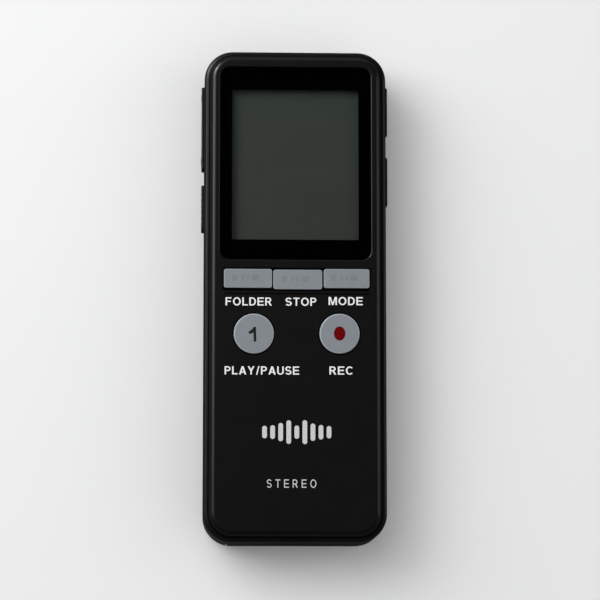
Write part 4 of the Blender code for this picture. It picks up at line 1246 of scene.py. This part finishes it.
def letter_outlines(letter, s):
    """The outlines, holes included, of a plain capital one unit tall, of stroke weight s."""
    w = LETTER_WIDTHS[letter]
    mid, half = w / 2, s / 2
    if letter == "O":
        return [oval(mid, 0.5, mid, 0.51), oval(mid, 0.5, mid - s, 0.51 - s)]
    if letter == "C":
        return [stroke(oval(mid + 0.02, 0.5, mid + 0.02 - half, 0.51 - half, 42, 318), s)]
    if letter == "S":
        rx, ry = mid - half, 0.255 - s / 4
        upper = oval(mid, 0.5 + ry, rx, ry, 20, 262, 14)
        lower = oval(mid, 0.5 - ry, rx, ry, 82, -160, 14)
        return [stroke(upper + lower, s)]
    if letter == "U":
        bend = oval(mid, 0.32, mid - half, 0.325 - half, 180, 360, 14)
        return [stroke([(half, 1.0)] + bend + [(w - half, 1.0)], s)]
    if letter == "D":
        outer = oval(w - 0.37, 0.5, 0.37, 0.5, -90, 90)
        inner = oval(w - 0.37, 0.5, 0.37 - s, 0.5 - s, -90, 90)
        return [[(0, 0)] + outer + [(0, 1)], [(s, s)] + inner + [(s, 1 - s)]]
    if letter in "PR":
        x, y, rx, ry = 0.33, 0.7, 0.28, 0.3
        outer = oval(x, y, rx, ry, -90 if letter == "P" else -62, 90, 14)
        eye = [(s, y - ry + s)] + oval(x, y, rx - s * 0.95, ry - s, -90, 90, 14) + [(s, 1 - s)]
        foot = [(0, 0), (s, 0), (s, y - ry)]
        if letter == "R":
            foot += [(0.3, y - ry), (w - 1.2 * s, 0), (w, 0)]
        return [foot + outer + [(0, 1)], eye]
    if letter == "A":
        slope = mid - 0.6 * s
        foot, bar_low, bar_high = 1.1 * s, 0.22, 0.22 + 0.9 * s
        left = [(0, 0), (foot, 0), (foot + bar_low * slope, bar_low)]
        right = [(w - x, y) for x, y in reversed(left)]
        bar_left = foot + bar_high * slope
        eye = [(bar_left, bar_high), (w - bar_left, bar_high), (mid, (mid - foot) / slope)]
        return [left + right + [(mid + 0.6 * s, 1), (mid - 0.6 * s, 1)], eye]
    if letter == "Y":
        fork = 0.42
        dip = 1 - (1 - fork) * (mid - 1.15 * s) / (mid - half)
        stem = [(mid - half, fork), (mid - half, 0), (mid + half, 0), (mid + half, fork)]
        return [stem + [(w, 1), (w - 1.15 * s, 1), (mid, dip), (1.15 * s, 1), (0, 1)]]
    if letter == "M":
        right = [(mid + half, 0), (w - s, 0.72), (w - s, 0), (w, 0), (w, 1), (w - 1.4 * s, 1)]
        left = [(w - x, y) for x, y in reversed(right)]
        return [left + right + [(mid, 0.27)]]
    if letter == "/":
        return [[(0, -0.03), (0.85 * s, -0.03), (w, 1.03), (w - 0.85 * s, 1.03)]]
    if letter == "L":
        return [[(0, 0), (w, 0), (w, s), (s, s), (s, 1), (0, 1)]]
    if letter == "T":
        right = [(mid + half, 0), (mid + half, 1 - s), (w, 1 - s), (w, 1)]
        return [right + [(w - x, y) for x, y in reversed(right)]]
    arm = w - (0.06 if letter == "F" else 0.04)
    foot = [(0, 0), (s, 0)] if letter == "F" else [(0, 0), (w, 0), (w, s), (s, s)]
    middle = [(s, 0.43), (arm, 0.43), (arm, 0.43 + s), (s, 0.43 + s)]
    return [foot + middle + [(s, 1 - s), (w, 1 - s), (w, 1), (0, 1)]]


def lettering(name, words, centre, width, height, weight, gap, look):
    """A word in thin raised ink on the face, fitted to a width and a letter height."""
    outlines, start = [], 0.0
    for letter in words:
        outlines += [[(start + x, y) for x, y in line] for line in letter_outlines(letter, weight)]
        start += LETTER_WIDTHS[letter] + gap
    stretch = width / (start - gap)
    left, middle = centre[0] - width / 2, centre[1]
    lines = [[(left + x * stretch, middle + (y - 0.5) * height, 0.0) for x, y in line] for line in outlines]
    guide = curve_object(name, "2D", lines, closed=True)
    guide.data.fill_mode = "BOTH"
    guide.data.extrude = PRINT_HEIGHT / 2 * MM
    guide.location.z = (FACE + PRINT_HEIGHT / 2 - 0.005) * MM
    finish_piece(curve_solid(guide), look, "recorder", smooth=False)


def legends():
    """The word below each front key."""
    for key, (words, shift, width, drop) in LEGENDS.items():
        middle = centre_of(f"key_{key}")
        centre = (middle.x + shift, middle.y - drop)
        lettering(f"legend_{key}", words, centre, width, LEGEND_HEIGHT, LEGEND_WEIGHT, LEGEND_GAP, WHITE_INK)


def level_mark():
    """A row of sound-level bars in the middle of the lower face."""
    count, pitch, width = MARK_BARS
    reach = (count - 1) / 2
    bars = []
    for n in range(count):
        swing = 0.5 + 0.5 * abs(cos(n * 1.9 + 0.2))
        half = MARK_HEIGHT / 2 * swing * (1 - 0.5 * (abs(n - reach) / reach) ** 2)
        x, y = MARK_PLACE[0] + (n - reach) * pitch, MARK_PLACE[1]
        bounds = (x - width / 2, x + width / 2, y - half, y + half)
        levels = ((0.0, FACE - PRINT_SINK), (0.0, FACE + PRINT_HEIGHT))
        bars.append(slab("bar", bounds, width / 2 - 0.01, levels))
    finish_piece(merged("level_mark", bars), GREY_INK, "recorder", smooth=False)


# ---------------- carried-over pieces
def dress_inner_pieces():
    """Gives each CAD node that still shows its material, by its record slot."""
    looks = {
        "white_plastic": WHITE_PLASTIC,
        "chip_black": CHIP,
        "rubber": RUBBER,
        "steel": STEEL,
        "board_green": BOARD,
    }
    slots = {part["node"]: part.get("material_slot") for part in frame["record"]["subparts"]}
    for name, obj in frame["nodes"].items():
        if not obj.hide_render:
            obj.data.materials.clear()
            obj.data.materials.append(looks[slots[name]])


# ---------------- stage, light and camera
def stage_floor():
    """A pale floor that is darker in reflections than it looks."""
    floor = loft("floor", [round_ring(0, 0, 2500, z, FINE_STEPS) for z in (-30, -0.03)])
    made, tree, shader = new_material("pale_floor")
    where = position(tree)
    tint = blend_colour(tree, noise(tree, where, 60.0, 3.0), (0.79, 0.795, 0.8), (0.81, 0.81, 0.81))
    mirrored = node(tree, "LightPath").outputs["Is Glossy Ray"]
    tint = blend_colour(tree, mirrored, tint, (0.06, 0.06, 0.06))
    finish_material(tree, shader, tint, 0.8, noise(tree, where, 0.6, 3.0), 0.01)
    floor.data.materials.append(made)


def softbox(name, azimuth, elevation, distance, size, power, mirrored=True, lights=True):
    """An area light aimed at the recorder. Azimuth is anticlockwise from +X; distance and size in mm.

    Mirrored: it shows in reflections. Lights: it lights matt surfaces.
    """
    data = bpy.data.lights.new(name, "AREA")
    data.shape = "RECTANGLE"
    data.size, data.size_y = (side * MM for side in size)
    data.energy = power
    a, e = radians(azimuth), radians(elevation)
    spot = Vector((cos(e) * cos(a), cos(e) * sin(a), sin(e))) * distance
    light = bpy.data.objects.new(name, data)
    light.location = spot * MM
    light.rotation_euler = (-spot).to_track_quat("-Z", "Y").to_euler()
    light.visible_glossy = mirrored
    light.visible_diffuse = lights
    bpy.context.scene.collection.objects.link(light)


def studio_light():
    """The lights, and surroundings that glow softly on matt surfaces and along the horizon in reflections."""
    softbox("main_light", 138, 60, 800, (700, 700), 3.2, mirrored=False)
    softbox("floor_light", -30, 58, 900, (900, 900), 1.5, mirrored=False)
    softbox("left_panel", 150, 42, 600, (420, 420), 1.5)
    softbox("corner_spot", 136, 38, 560, (110, 110), 1.0, lights=False)
    softbox("back_strip", 88, 26, 600, (460, 130), 0.18)
    softbox("right_panel", 8, 25, 640, (260, 540), 0.36)
    world = bpy.data.worlds.new("studio")
    bpy.context.scene.world = world
    world.use_nodes = True
    tree = world.node_tree
    tree.nodes.clear()
    up = node(tree, "SeparateXYZ", Vector=node(tree, "TexCoord").outputs["Generated"]).outputs["Z"]
    low = spread(tree, maths(tree, "ABSOLUTE", up), 1.0, 0.0, 0.0, 0.35)
    path = node(tree, "LightPath").outputs
    horizon = maths(tree, "MULTIPLY", low, MIRRORED_HORIZON)
    glow = maths(
        tree, "ADD",
        maths(tree, "MULTIPLY", path["Is Glossy Ray"], horizon),
        maths(tree, "MULTIPLY", path["Is Diffuse Ray"], AMBIENT),
    )
    backdrop = node(tree, "Background", Color=(0.78, 0.785, 0.79), Strength=1.0)
    ambient = node(tree, "Background", Color=(1.0, 1.0, 1.0), Strength=glow)
    mixed = node(tree, "MixShader", Fac=path["Is Camera Ray"])
    tree.links.new(ambient.outputs[0], mixed.inputs[1])
    tree.links.new(backdrop.outputs[0], mixed.inputs[2])
    output = tree.nodes.new("ShaderNodeOutputWorld")
    tree.links.new(mixed.outputs[0], output.inputs["Surface"])
    bpy.context.scene.view_settings.view_transform = "Standard"


def camera():
    """A long lens nearly above the face."""
    data = bpy.data.cameras.new("camera")
    data.lens = CAMERA_LENS
    data.sensor_width = 36.0
    data.clip_start = 0.01
    data.clip_end = 20.0
    across, along = (sin(radians(angle)) for angle in CAMERA_LEAN)
    away = Vector((across, along, sqrt(1 - across ** 2 - along ** 2)))
    right = Vector((0, 1, 0)).cross(away).normalized()
    seen = bpy.data.objects.new("camera", data)
    seen.location = (Vector(CAMERA_TARGET) + away * CAMERA_DISTANCE) * MM
    seen.rotation_euler = Matrix((right, away.cross(right), away)).transposed().to_euler()
    bpy.context.scene.collection.objects.link(seen)
    bpy.context.scene.camera = seen


# ---------------- assembly
front_shell()
frame_shell()
rear_shell()
door_panel()
screws()
window_lens()
window_border()
display()
for key_name in ROW_KEYS:
    row_key(key_name)
for key_name in ROUND_KEYS:
    round_key(key_name)
record_dot()
play_numeral()
volume_rocker()
power_knob()
track_key("previous", -1)
track_key("next", 1)
for jack_name in JACKS:
    jack(jack_name)
usb_port()
speaker()
cell("left", "bottom_end")
cell("right", "top_end")
contacts()
tray()
legends()
level_mark()
lettering("small_mark", *SMALL_MARK, GREY_INK)
dress_inner_pieces()
stage_floor()
studio_light()
camera()

bpy.context.view_layer.update()
